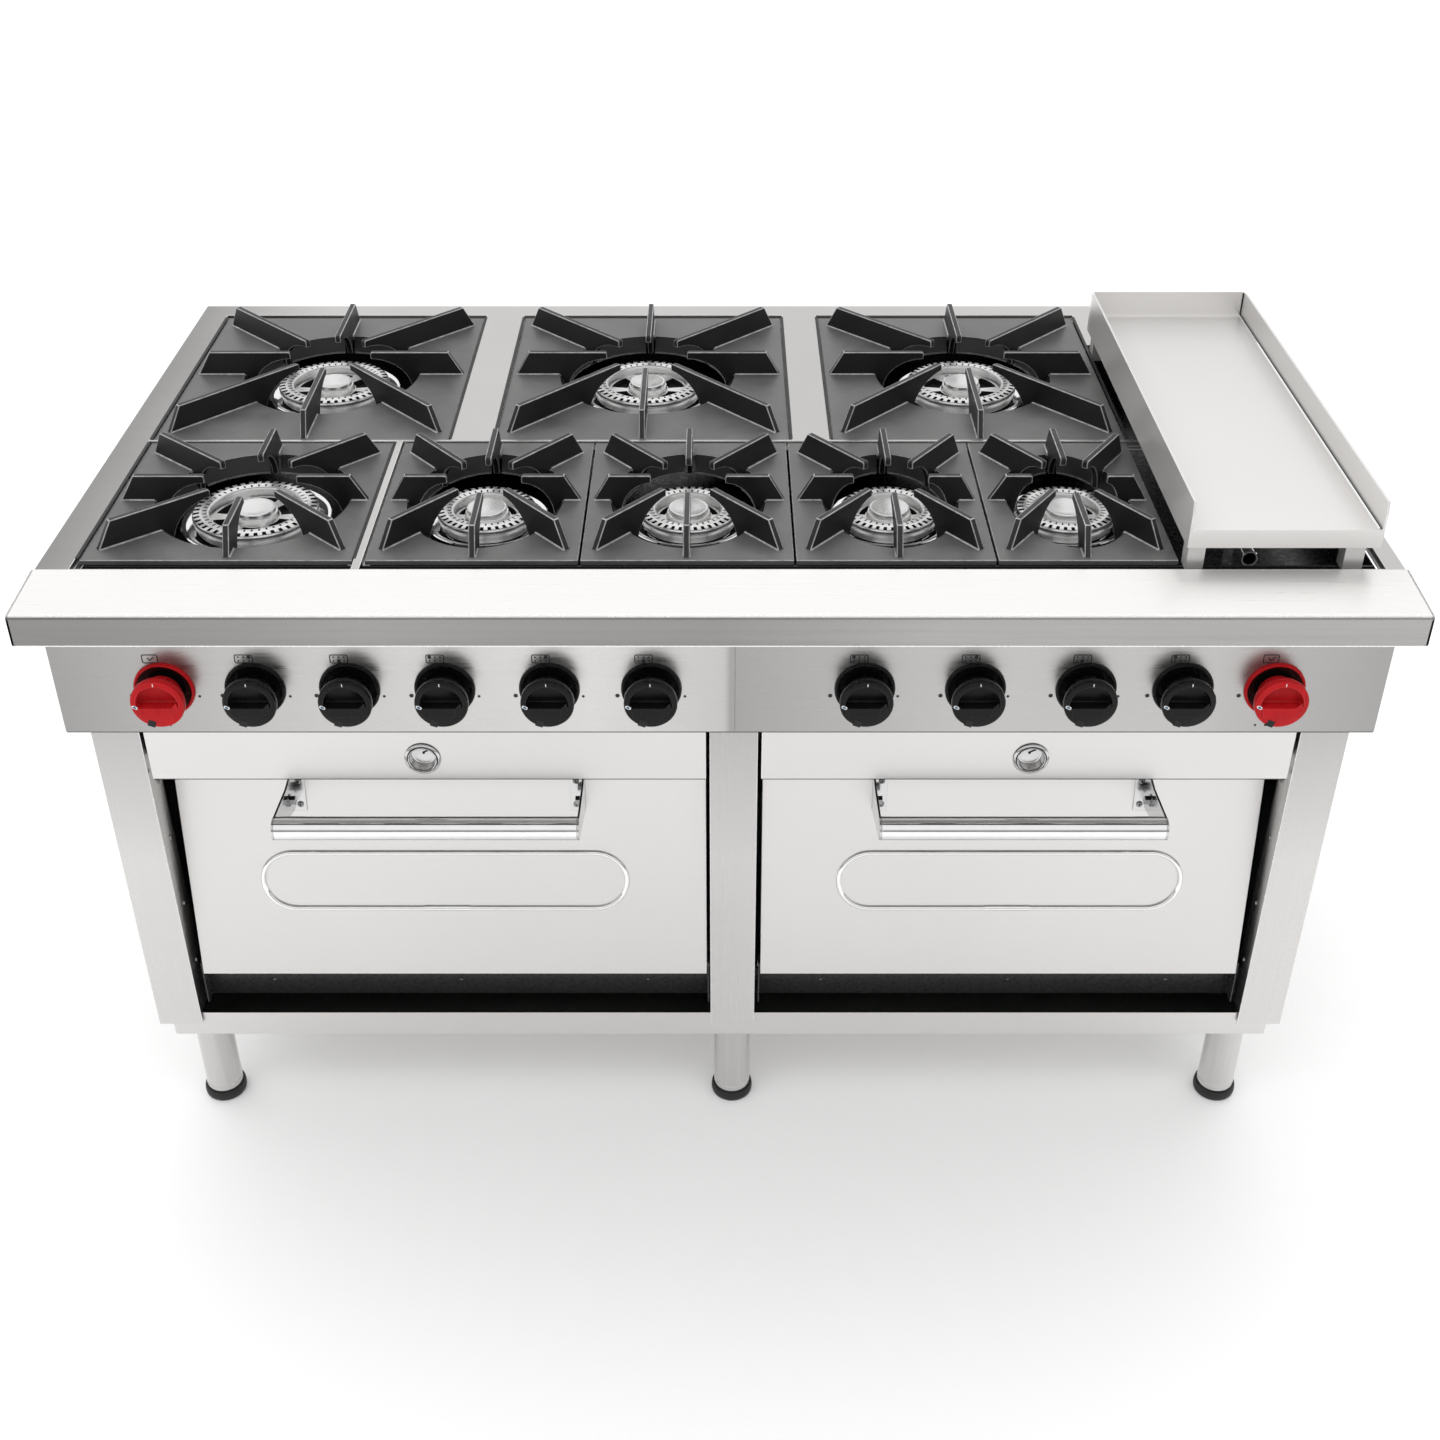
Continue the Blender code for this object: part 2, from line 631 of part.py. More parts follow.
def make_griddle_burner():
    """Straight tube burner under the griddle, open at its front end, on two stands."""
    y0, y1 = TUBE_BURNER_Y
    length = y1 - y0
    bore = TUBE_BURNER_RADIUS - 0.003
    profile = [(0, 0), (TUBE_BURNER_RADIUS, 0), (TUBE_BURNER_RADIUS, length), (bore, length),
               (bore, length - 0.040), (0, length - 0.040)]
    place = facing_front(TUBE_BURNER_X, y1, TUBE_BURNER_Z)
    tube = add_object("griddle_burner", turned(profile, 14), "burner_alloy", place, round_piece=True)
    stands = bmesh.new()
    foot_z = TRAY_Z[1] + GAP
    height = TUBE_BURNER_Z - foot_z
    for stand_y in (y0 + 0.09, y1 - 0.06):
        size = Matrix.Diagonal((0.012, 0.012, height, 1))
        middle = Matrix.Translation((TUBE_BURNER_X, stand_y, foot_z + height / 2))
        bmesh.ops.create_cube(stands, size=1, matrix=middle @ size)
    boolean(tube, add_tool("tool_burner_stands", stands), "UNION")


# Control panel, taps and knobs

def make_control_panel():
    half, t = BODY_HALF, SHEET
    bottom, top = PANEL_Z
    body = ((-half, half), (PANEL_FRONT, PANEL_BACK), (bottom, top))
    hollow = ((-half + t, half - t), (PANEL_FRONT + t, PANEL_BACK + t), (bottom + t, top + t))
    panel = panels("control_panel", "stainless", [body], [hollow])
    holes = bmesh.new()
    for knob_x in KNOB_X:
        turned([(0, 0.005), (0.007, 0.005), (0.007, -0.010), (0, -0.010)], 12, holes, (knob_x, 0, 0))
    tool = add_tool("tool_knob_holes", holes, facing_front(0, PANEL_FRONT, KNOB_Z))
    boolean(panel, tool, "DIFFERENCE")


def make_gas_manifold():
    """Gas pipe along the panel with one tap per knob; each tap is bored for its knob's stem."""
    reach = 0.690
    pipe = turned([(0, reach), (PIPE_RADIUS, reach), (PIPE_RADIUS, -reach), (0, -reach)], 8)
    place = Matrix.Translation((0, PANEL_FRONT + PIPE_SET_BACK, KNOB_Z))
    manifold = add_object("gas_manifold", pipe, "brass",
                          place @ Matrix.Rotation(math.pi / 2, 4, "Y"), round_piece=True)
    taps, bores = bmesh.new(), bmesh.new()
    front, back = PIPE_SET_BACK - 0.012, -0.0135
    bore = STEM_RADIUS + 0.0006
    for knob_x in KNOB_X:
        turned([(0, front), (TAP_RADIUS, front), (TAP_RADIUS, back), (0, back)], 8, taps, (knob_x, 0, 0))
        turned([(0, front + 0.01), (bore, front + 0.01), (bore, front - 0.016), (0, front - 0.016)],
               8, bores, (knob_x, 0, 0))
    frame = facing_front(0, PANEL_FRONT + PIPE_SET_BACK, KNOB_Z)
    boolean(manifold, add_tool("tool_taps", taps, frame), "UNION")
    boolean(manifold, add_tool("tool_tap_bores", bores, frame), "DIFFERENCE")


def make_knobs():
    """Round knobs with a half-moon finger recess above the grip bar."""
    profile = [(0, KNOB_DEPTH), (KNOB_RADIUS, KNOB_DEPTH), (KNOB_RADIUS, 0.014), (0.025, 0.006),
               (STEM_RADIUS, 0.006), (STEM_RADIUS, -STEM_LENGTH), (0, -STEM_LENGTH)]
    recess_radius, recess_floor = 0.0235, KNOB_DEPTH - 0.0145
    for name, knob_x in zip(KNOB_NAMES, KNOB_X):
        place = facing_front(knob_x, PANEL_FRONT, KNOB_Z)
        finish = "red_plastic" if "oven" in name else "black_plastic"
        knob = add_object(name, turned(profile, 16), finish, place, round_piece=True)
        recess = bmesh.new()
        turns = [math.pi * k / RECESS_STEPS for k in range(RECESS_STEPS + 1)]
        arc = [recess.verts.new((recess_radius * math.cos(turn), recess_radius * math.sin(turn),
                                 recess_floor)) for turn in turns]
        face = recess.faces.new(arc)
        moved = bmesh.ops.extrude_face_region(recess, geom=[face])["geom"]
        verts = [item for item in moved if isinstance(item, bmesh.types.BMVert)]
        bmesh.ops.translate(recess, verts=verts, vec=(0, 0, KNOB_DEPTH))
        boolean(knob, add_tool("tool_recess_" + name, recess, place), "DIFFERENCE")


# Ovens

def make_fascia(side):
    """Folded strip above the door, with the hole that its spy-hole cup turns in."""
    (left, right), (bottom, top), t = FASCIA_X[side], FASCIA_Z, SHEET
    front = POST_FRONT
    fascia = panels(f"fascia_{side}", "stainless", [
        ((left, right), (front, front + t), (bottom, top)),
        ((left, right), (front, front + FASCIA_RETURN), (bottom, bottom + t)),
        ((left, right), (front, front + FASCIA_RETURN), (top - t, top)),
    ])
    radius = SPYHOLE_RADIUS + GAP
    hole = turned([(0, 0.005), (radius, 0.005), (radius, -0.010), (0, -0.010)], 22)
    place = facing_front(SPYHOLE_X[side], front, SPYHOLE_Z)
    boolean(fascia, add_tool(f"tool_spyhole_{side}", hole, place), "DIFFERENCE")


def make_spyhole_cup(side):
    """Rimmed cup that turns in the strip; a slot in its floor is the spy hole."""
    outer, rim, t = SPYHOLE_RADIUS, SPYHOLE_RIM, 0.0015
    floor = -SPYHOLE_DEPTH
    profile = [(0, floor + t), (outer - t, floor + t), (outer - t, 0.004), (rim - 0.001, 0.004),
               (rim, 0.003), (rim, GAP), (outer, GAP), (outer, floor), (0, floor)]
    place = facing_front(SPYHOLE_X[side], POST_FRONT, SPYHOLE_Z)
    cup = add_object(f"spyhole_cup_{side}", turned(profile, 22), "polished", place, round_piece=True)
    slot = bmesh.new()
    (x0, x1), (y0, y1) = SPYHOLE_SLOT
    size = Matrix.Diagonal((x1 - x0, y1 - y0, 4 * t, 1))
    middle = Matrix.Translation(((x0 + x1) / 2, (y0 + y1) / 2, floor))
    bmesh.ops.create_cube(slot, size=1, matrix=middle @ size)
    boolean(cup, add_tool(f"tool_slot_{side}", slot, place), "DIFFERENCE")


def make_oven_box(side):
    """Sheet oven liner behind a front frame; its open front is cut back along the leaning door."""
    left, right = DOOR_X[side]
    left, right = left + OVEN_INSET, right - OVEN_INSET
    (bottom, top), rim, t = OVEN_Z, OVEN_FRAME, SHEET
    front = HINGE_Y
    frame = ((left, right), (front, front + t), (bottom, top))
    skin = rim - t
    liner = ((left + skin, right - skin), (front, OVEN_BACK), (bottom + skin, top - skin))
    cavity = ((left + rim, right - rim), (front - t, OVEN_BACK - t), (bottom + rim, top - rim))
    oven = panels(f"oven_box_{side}", "galvanised", [frame, liner], [cavity])
    clear = (DOOR_HALF_THICK + 2 * GAP) / math.cos(LEAN)
    for vert in oven.data.vertices:
        if vert.co.y < front + t + GAP:
            vert.co.y += clear + (vert.co.z - HINGE_Z) * math.tan(LEAN)


def make_door(side):
    """Folded door shell, open along its bottom edge, with a hinge pin that passes through it."""
    (left, right), thick, t = DOOR_X[side], DOOR_HALF_THICK, SHEET
    place = door_frame()
    shell = ((left, right), (-thick, thick), (-DOOR_BELOW, DOOR_HEIGHT))
    hollow = ((left + t, right - t), (-thick + t, thick - t), (-DOOR_BELOW - t, DOOR_HEIGHT - t))
    door = panels(f"oven_door_{side}", "stainless", [shell], [hollow], place)
    ends = (left - HINGE_PIN_OUT, right + HINGE_PIN_OUT)
    pin = turned([(0, ends[1]), (HINGE_PIN, ends[1]), (HINGE_PIN, ends[0]), (0, ends[0])], 12)
    tool = add_tool(f"tool_hinge_pin_{side}", pin, place @ Matrix.Rotation(math.pi / 2, 4, "Y"))
    boolean(door, tool, "UNION")


def make_handle(side):
    """Tube handle on two arms that stand on the door's face."""
    left, right = HANDLE_X[side]
    place = door_frame()
    axis = Matrix.Translation((0, -HANDLE_OUT, HANDLE_UP)) @ Matrix.Rotation(math.pi / 2, 4, "Y")
    outer, bore = HANDLE_RADIUS, HANDLE_RADIUS - HANDLE_WALL
    bar = turned([(bore, right), (outer, right), (outer, left), (bore, left), (bore, right)], 18)
    bar.transform(axis)
    handle = add_object(f"door_handle_{side}", bar, "polished", place, round_piece=True)
    face = -DOOR_HALF_THICK - GAP
    low, high = HANDLE_UP - 0.010, HANDLE_UP + 0.010
    end = -HANDLE_OUT + HANDLE_RADIUS - 0.005
    arm = [(face, HANDLE_UP - 0.020), (face, HANDLE_UP + 0.024), (end, high), (end, low)]
    arms = bmesh.new()
    inset = 0.002
    for start in (left + inset, right - inset - HANDLE_ARM):
        prism(arm, start, start + HANDLE_ARM, arms)
    boolean(handle, add_tool(f"tool_arms_{side}", arms, place), "UNION")


def make_door_trim(side):
    """Polished bead around the middle of the door."""
    x_range, z_range, w = TRIM_X[side], TRIM_UP, TRIM_WIDTH
    back = -DOOR_HALF_THICK - GAP
    front = back - TRIM_PROUD
    inner_x = (x_range[0] + w, x_range[1] - w)
    inner_z = (z_range[0] + w, z_range[1] - w)
    bm = bmesh.new()
    loops = []
    for x_values, z_values, y in ((x_range, z_range, front), (x_range, z_range, back),
                                  (inner_x, inner_z, back), (inner_x, inner_z, front)):
        loops.append([bm.verts.new(point) for point in stadium(x_values, z_values, y, 8)])
    for first, second in zip(loops, loops[1:] + loops[:1]):
        for k in range(len(first)):
            after = (k + 1) % len(first)
            bm.faces.new((first[k], first[after], second[after], second[k]))
    add_object(f"door_trim_{side}", bm, "polished", door_frame(), round_piece=True)


def main():
    clear_scene()
    make_base()
    make_feet()
    make_posts()
    make_side_panels()
    make_back_panel()
    make_kick_panel()
    make_front_ledge()
    make_worktop_frame()
    make_burner_tray()
    make_cooking_places()
    make_griddle()
    make_griddle_burner()
    make_control_panel()
    make_gas_manifold()
    make_knobs()
    for side in DOOR_X:
        make_fascia(side)
        make_spyhole_cup(side)
        make_oven_box(side)
        make_door(side)
        make_handle(side)
        make_door_trim(side)


main()
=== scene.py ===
import json
import math

import bmesh
import bpy
from mathutils import Matrix, Vector


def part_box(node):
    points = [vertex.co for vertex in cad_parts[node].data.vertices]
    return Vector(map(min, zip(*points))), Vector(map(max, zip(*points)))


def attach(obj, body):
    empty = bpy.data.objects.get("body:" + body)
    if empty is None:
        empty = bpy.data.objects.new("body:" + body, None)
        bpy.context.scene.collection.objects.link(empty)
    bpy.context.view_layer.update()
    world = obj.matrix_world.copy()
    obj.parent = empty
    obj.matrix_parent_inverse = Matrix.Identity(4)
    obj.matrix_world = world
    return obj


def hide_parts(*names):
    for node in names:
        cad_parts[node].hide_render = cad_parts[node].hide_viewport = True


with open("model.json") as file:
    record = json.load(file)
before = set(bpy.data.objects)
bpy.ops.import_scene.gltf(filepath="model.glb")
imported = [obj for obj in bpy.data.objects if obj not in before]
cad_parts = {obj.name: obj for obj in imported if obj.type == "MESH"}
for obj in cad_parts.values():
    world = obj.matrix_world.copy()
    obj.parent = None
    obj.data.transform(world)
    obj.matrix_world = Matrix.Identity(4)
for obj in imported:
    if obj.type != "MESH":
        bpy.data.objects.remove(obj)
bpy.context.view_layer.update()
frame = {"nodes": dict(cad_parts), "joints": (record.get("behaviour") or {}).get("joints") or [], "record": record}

# Commercial gas range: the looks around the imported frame. Metres, +Z up, +Y to the back.

RECORD_BODIES = frame["record"]["behaviour"]["bodies"]
BODY_OF = {node: body for body, nodes in RECORD_BODIES.items() for node in nodes}
SIDES = ("left", "right")
ROOT = "range_body"


# ---------------------------------------------------------------- materials

def new_material(name):
    made = bpy.data.materials.new(name)
    made.use_nodes = True
    tree = made.node_tree
    return made, tree, tree.nodes["Principled BSDF"]


def add_node(tree, kind, inputs=None, **settings):
    """A shader node; inputs maps a socket name to a value or to another node's output."""
    node = tree.nodes.new("ShaderNode" + kind)
    for key, value in settings.items():
        setattr(node, key, value)
    for key, value in (inputs or {}).items():
        if isinstance(value, bpy.types.NodeSocket):
            tree.links.new(value, node.inputs[key])
        else:
            node.inputs[key].default_value = value
    return node


def noise(tree, scale, detail, rough, stretch=(1, 1, 1)):
    """Noise in the piece's own metres; stretch multiplies the frequency on each axis."""
    coords = add_node(tree, "TexCoord").outputs["Object"]
    mapped = add_node(tree, "Mapping", {"Vector": coords, "Scale": stretch})
    texture = add_node(tree, "TexNoise", {"Vector": mapped.outputs["Vector"], "Scale": scale,
                                          "Detail": detail, "Roughness": rough})
    return texture.outputs["Fac"]


def spread(tree, factor, low, high, start=0.3, end=0.7):
    """Map a factor between start and end onto low to high."""
    node = add_node(tree, "MapRange", {"Value": factor, "From Min": start, "From Max": end,
                                       "To Min": low, "To Max": high})
    return node.outputs["Result"]


def blend_colours(tree, factor, first, second):
    node = add_node(tree, "Mix", data_type="RGBA")
    for socket, value in ((node.inputs[0], factor), (node.inputs[6], first), (node.inputs[7], second)):
        if isinstance(value, bpy.types.NodeSocket):
            tree.links.new(value, socket)
        else:
            socket.default_value = (*value, 1.0) if isinstance(value, tuple) else value
    return node.outputs[2]


def bump(tree, shader, height, distance, strength):
    node = add_node(tree, "Bump", {"Height": height, "Distance": distance, "Strength": strength})
    tree.links.new(node.outputs["Normal"], shader.inputs["Normal"])


def paint(tree, shader, colour, roughness):
    """Feed the shader its colour and its roughness."""
    tree.links.new(colour, shader.inputs["Base Color"])
    tree.links.new(roughness, shader.inputs["Roughness"])


def grey(value, warmth=0.0):
    """A grey that leans to red by the share warmth."""
    return (value * (1 + warmth), value, value * (1 - warmth))


# Noise stretched along the brushing direction.
GRAIN = {"X": (0.012, 1, 1), "Y": (1, 0.012, 1), "Z": (1, 1, 0.012)}


def painted_light_along_axis(tree, axis, stops):
    """Painted light and shade: a tone factor that changes along an axis; stops are (metres, factor) from low to
    high.
    """
    coords = add_node(tree, "TexCoord").outputs["Object"]
    along = add_node(tree, "SeparateXYZ", {"Vector": coords}).outputs[axis]
    start, end = stops[0][0], stops[-1][0]
    ramp = add_node(tree, "ValToRGB", {"Fac": spread(tree, along, 0, 1, start, end)})
    fill_ramp(ramp, [((at - start) / (end - start), factor * 0.5) for at, factor in stops])
    return add_node(tree, "Math", {0: ramp.outputs["Color"], 1: 2.0}, operation="MULTIPLY").outputs[0]


def fill_ramp(ramp, stops):
    """Set a colour ramp's greys; stops are (position, level) with the first at 0 and the last at 1."""
    marks = ramp.color_ramp.elements
    marks[0].position, marks[0].color = 0.0, (*grey(stops[0][1]), 1)
    marks[1].position, marks[1].color = 1.0, (*grey(stops[-1][1]), 1)
    for position, level in stops[1:-1]:
        marks.new(position).color = (*grey(level), 1)


def brushed_steel(name, grain, tone, roughness, depth, cloud, along=None, metal=1.0):
    """Satin stainless sheet: streaks along the grain, soft clouds, and an optional painted light and shade that
    changes slowly along an axis.

    depth and cloud are the streaks' and clouds' contrast; along is (axis, stops) for that painted light and shade."""
    made, tree, shader = new_material(name)
    shader.inputs["Metallic"].default_value = metal
    fine = noise(tree, 900, 3, 0.65, GRAIN[grain])
    coarse = noise(tree, 140, 2, 0.5, GRAIN[grain])
    streak = add_node(tree, "Math", {0: fine, 1: coarse}, operation="ADD").outputs[0]
    clouds = noise(tree, 1.7, 2, 0.5)
    low, high = grey(tone * (1 - depth), 0.020), grey(min(tone * (1 + depth), 1.0), 0.016)
    colour = blend_colours(tree, spread(tree, streak, 0, 1, 0.72, 1.28), low, high)
    shade = spread(tree, clouds, 1 - cloud, 1 + cloud, 0.35, 0.65)
    if along:
        change = painted_light_along_axis(tree, *along)
        shade = add_node(tree, "Math", {0: shade, 1: change}, operation="MULTIPLY").outputs[0]
    scaled = add_node(tree, "VectorMath", {0: colour, "Scale": shade}, operation="SCALE")
    uneven = min(0.05, 3 * depth)
    paint(tree, shader, scaled.outputs["Vector"],
          spread(tree, streak, roughness - uneven, roughness + uneven, 0.72, 1.28))
    bump(tree, shader, fine, 0.00003, 0.5)
    return made


def polished_steel(name, tone, roughness, metal=1.0):
    """Bright drawn steel with faint wipe marks."""
    made, tree, shader = new_material(name)
    shader.inputs["Metallic"].default_value = metal
    smears = noise(tree, 60, 4, 0.7)
    scratches = noise(tree, 1500, 2, 0.6, (0.05, 1, 1))
    paint(tree, shader, blend_colours(tree, spread(tree, smears, 0, 1), grey(tone * 0.95), grey(tone)),
          spread(tree, smears, roughness - 0.03, roughness + 0.06))
    bump(tree, shader, scratches, 0.00002, 0.5)
    return made


def enamelled_iron(name, tone, roughness=0.42):
    """Vitreous enamel over rough iron: orange peel, small pits, uneven sheen."""
    made, tree, shader = new_material(name)
    peel = noise(tree, 420, 3, 0.55)
    patches = noise(tree, 14, 4, 0.6)
    dark, light = grey(tone * 0.75, 0.01), grey(tone * 1.25, 0.01)
    paint(tree, shader, blend_colours(tree, spread(tree, patches, 0, 1), dark, light),
          spread(tree, patches, roughness - 0.07, roughness + 0.09))
    shader.inputs["Specular IOR Level"].default_value = 0.55
    bump(tree, shader, peel, 0.00025, 0.5)
    return made


def wear_and_painted_highlight(name, tone):
    """Light edge enamel: partly wear where the enamel is thin over the iron, partly a painted highlight on the
    edges.
    """
    made, tree, shader = new_material(name)
    wear = noise(tree, 90, 4, 0.65)
    shader.inputs["Metallic"].default_value = 0.35
    paint(tree, shader, blend_colours(tree, spread(tree, wear, 0, 1), grey(tone * 0.55), grey(tone * 1.2)),
          spread(tree, wear, 0.28, 0.45))
    return made


def cast_alloy(name, tone):
    """Bright machined casting for the burners, with turning marks and pores."""
    made, tree, shader = new_material(name)
    shader.inputs["Metallic"].default_value = 1.0
    grainy = noise(tree, 700, 4, 0.7)
    stain = noise(tree, 28, 3, 0.6)
    paint(tree, shader, blend_colours(tree, spread(tree, stain, 0, 1), grey(tone * 0.9, 0.01), grey(tone)),
          spread(tree, grainy, 0.24, 0.42))
    bump(tree, shader, grainy, 0.00012, 0.5)
    return made


def moulded_plastic(name, colour, roughness=0.30, sheen=0.10):
    """Phenolic plastic with a slight moulding ripple and dulled patches."""
    made, tree, shader = new_material(name)
    ripple = noise(tree, 260, 2, 0.5)
    dull = noise(tree, 55, 3, 0.6)
    darker = tuple(channel * 0.8 for channel in colour)
    paint(tree, shader, blend_colours(tree, spread(tree, dull, 0, 1), darker, colour),
          spread(tree, dull, roughness - 0.06, roughness + 0.10))
    shader.inputs["Specular IOR Level"].default_value = sheen
    bump(tree, shader, ripple, 0.00008, 0.4)
    return made


def zinc_sheet(name, tone):
    """Galvanised sheet with its spangle."""
    made, tree, shader = new_material(name)
    shader.inputs["Metallic"].default_value = 1.0
    coords = add_node(tree, "TexCoord").outputs["Object"]
    cells = add_node(tree, "TexVoronoi", {"Vector": coords, "Scale": 150.0})
    spangle = add_node(tree, "SeparateXYZ", {"Vector": cells.outputs["Color"]}).outputs[0]
    paint(tree, shader, blend_colours(tree, spangle, grey(tone * 0.90), grey(tone * 1.08)),
          spread(tree, spangle, 0.34, 0.56, 0, 1))
    return made


def speckled_enamel(name, base, fleck):
    """Oven and well enamel: dark ground with fine light flecks."""
    made, tree, shader = new_material(name)
    flecks = noise(tree, 620, 2, 0.6)
    peel = noise(tree, 160, 2, 0.5)
    paint(tree, shader, blend_colours(tree, spread(tree, flecks, 0, 1, 0.62, 0.72), grey(base), grey(fleck)),
          spread(tree, peel, 0.22, 0.36))
    bump(tree, shader, peel, 0.00020, 0.5)
    return made


def matt(name, colour, roughness, variation=0.25, scale=160, metallic=0.0):
    """Matt surface with a fine mottle: rubber, ink, soot or brass."""
    made, tree, shader = new_material(name)
    mottle = noise(tree, scale, 4, 0.65)
    darker = tuple(channel * (1 - variation) for channel in colour)
    shader.inputs["Metallic"].default_value = metallic
    paint(tree, shader, blend_colours(tree, spread(tree, mottle, 0, 1), darker, colour),
          spread(tree, mottle, roughness - 0.08, roughness + 0.08))
    bump(tree, shader, mottle, 0.00010, 0.4)
    return made


# Painted light and shade: the ledge's top and front are one sheet, made as a bright copy for the top and a dark
# copy for the front; the front's copy is also darker at the left end and lighter towards the right.
LEDGE_PAINTED_LIT_TOP = brushed_steel("steel_ledge_painted_lit_top", "X", 0.86, 0.30, 0.010, 0.01, None, 0.5)
LEDGE_PAINTED_SHADED_FACE = brushed_steel("steel_ledge_painted_shaded_face", "X", 0.295, 0.32, 0.06, 0.05,
                           ("X", ((-0.8, 0.82), (-0.4, 1.04), (0.0, 0.96), (0.25, 1.30), (0.8, 1.30))))
# Painted shade: the deck steel darkens towards its left end.
DECK = brushed_steel("steel_deck", "X", 0.60, 0.32, 0.02, 0.05,
                     ("X", ((-0.8, 0.50), (-0.70, 0.80), (-0.60, 1.0), (0.8, 1.0))))
# Painted light and shade: the panel steel is darker at both ends and just right of the middle seam, and lightest
# left of the middle.
PANEL = brushed_steel("steel_panel", "X", 0.52, 0.30, 0.020, 0.04,
                      ("X", ((-0.77, 0.62), (-0.52, 0.94), (-0.15, 1.22), (0.005, 0.98), (0.012, 0.66),
                             (0.30, 0.92), (0.55, 0.92), (0.77, 0.66))))
SHEET_X = brushed_steel("steel_sheet_level_grain", "X", 0.68, 0.30, 0.008, 0.03)
DOOR = brushed_steel("steel_door", "X", 0.665, 0.30, 0.006, 0.02)
# Painted shade: the upright-grain steel of the posts darkens towards the top.
SHEET_Z = brushed_steel("steel_sheet_upright_grain", "Z", 0.60, 0.30, 0.015, 0.04,
                        ("Z", ((0.15, 1.12), (0.45, 1.05), (0.75, 0.64))))
SIDE = brushed_steel("steel_side", "Z", 0.62, 0.33, 0.03, 0.05)
TUBE = brushed_steel("steel_leg", "Z", 0.60, 0.20, 0.05, 0.02)
# Painted light and shade: the griddle steel darkens towards the back, and its back wall is painted lighter.
GRIDDLE = brushed_steel("steel_griddle", "Y", 0.72, 0.30, 0.004, 0.02,
                        ("Y", ((-0.38, 1.04), (0.0, 0.97), (0.292, 0.90), (0.303, 1.30), (0.35, 1.30))), 0.45)
POLISHED = polished_steel("steel_polished", 0.90, 0.05)
SATIN = polished_steel("steel_satin", 0.62, 0.16)
# Painted highlight: a bright, partly matt steel for rounded edges and thin lines, so that they look lit whichever
# way they face.
STEEL_PAINTED_HIGHLIGHT = polished_steel("steel_painted_highlight", 0.95, 0.25, 0.3)
FASTENER = polished_steel("steel_fastener", 0.30, 0.25)
IRON = enamelled_iron("enamelled_iron", 0.110)
# Painted shade: a far darker copy of the grate enamel, for the fins and the dish walls.
IRON_PAINTED_SHADE = enamelled_iron("enamelled_iron_fins", 0.010, 0.45)
# Light edge enamel: partly wear, partly a painted highlight, for rounded edges, notch ends and weld beads.
IRON_WEAR_AND_HIGHLIGHT = wear_and_painted_highlight("enamelled_iron_wear_and_painted_highlight", 0.46)
ALLOY = cast_alloy("burner_alloy", 0.86)
# Painted shade: matt black in ports, pockets, bores, grooves, slots, notches, joints, screw crosses and under
# rims, where shade falls.
BLACK_PAINTED_SHADE = matt("black_painted_shade", grey(0.008), 0.75)
BLACK_KNOB = moulded_plastic("black_plastic", grey(0.007), 0.26, 0.16)
BEZEL_DISH = moulded_plastic("black_gloss", grey(0.004), 0.12, 0.45)
RED_KNOB = moulded_plastic("red_plastic", (0.52, 0.012, 0.016))
# Painted highlight: lighter copies of the knob plastics for the knobs' bevelled edges.
BLACK_KNOB_PAINTED_HIGHLIGHT = moulded_plastic("black_plastic_painted_highlight", grey(0.035), 0.3, 0.3)
RED_KNOB_PAINTED_HIGHLIGHT = moulded_plastic("red_plastic_painted_highlight", (0.72, 0.060, 0.060), 0.3, 0.3)
BLACK_ENAMEL = speckled_enamel("black_enamel", 0.015, 0.022)
KICK_ENAMEL = speckled_enamel("kick_enamel", 0.032, 0.034)
OVEN_ENAMEL = speckled_enamel("oven_enamel", 0.018, 0.16)
ZINC = zinc_sheet("zinc_sheet", 0.46)
BRASS = matt("brass", (0.62, 0.44, 0.18), 0.34, 0.2, 120, 1.0)
# Black matt plastic for the feet's shoes; the same black also makes painted shadow strips under the panel edges
# and along the deck's joints.
BLACK_PLASTIC_AND_PAINTED_SHADOW = matt("foot_plastic", grey(0.012), 0.5)
INK = matt("printed_ink", grey(0.012), 0.5)
# White matt for the knobs' pointer lines and the griddle tube's lip; with the blue below it also makes a painted
# highlight on each knob, a white oval with a blue centre.
WHITE_MARK = matt("white_mark", grey(0.80), 0.35, 0.06)
BLUE_PAINTED_GLINT = matt("blue_painted_glint", (0.02, 0.10, 0.22), 0.35, 0.2)


# ---------------------------------------------------------------- mesh helpers

def new_piece(name, bm, materials, body, replaces=(), smooth=30, bevel=0.0, edge=None):
    """Turn bm into a piece that rides on a body; bevel rounds its sharp edges.

    smooth is the angle up to which faces are shaded as one, edge the bevel's material index."""
    bmesh.ops.recalc_face_normals(bm, faces=bm.faces)
    mesh = bpy.data.meshes.new(name)
    bm.to_mesh(mesh)
    bm.free()
    for item in materials:
        mesh.materials.append(item)
    mesh.shade_smooth()
    mesh.set_sharp_from_angle(angle=math.radians(smooth))
    piece = bpy.data.objects.new(name, mesh)
    bpy.context.scene.collection.objects.link(piece)
    if bevel:
        add_bevel(piece, bevel, edge)
    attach(piece, body)
    if replaces:
        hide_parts(*replaces)
    return piece


def add_bevel(piece, width, edge=None):
    rounding = piece.modifiers.new("rounded_edges", "BEVEL")
    rounding.width = width
    rounding.segments = 2
    rounding.limit_method = "ANGLE"
    rounding.angle_limit = math.radians(32)
    rounding.use_clamp_overlap = True
    rounding.harden_normals = True
    if edge is not None:
        rounding.material = edge


def centre_of(node):
    low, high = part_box(node)
    return (low + high) / 2


def loop(bm, points):
    return [bm.verts.new(point) for point in points]


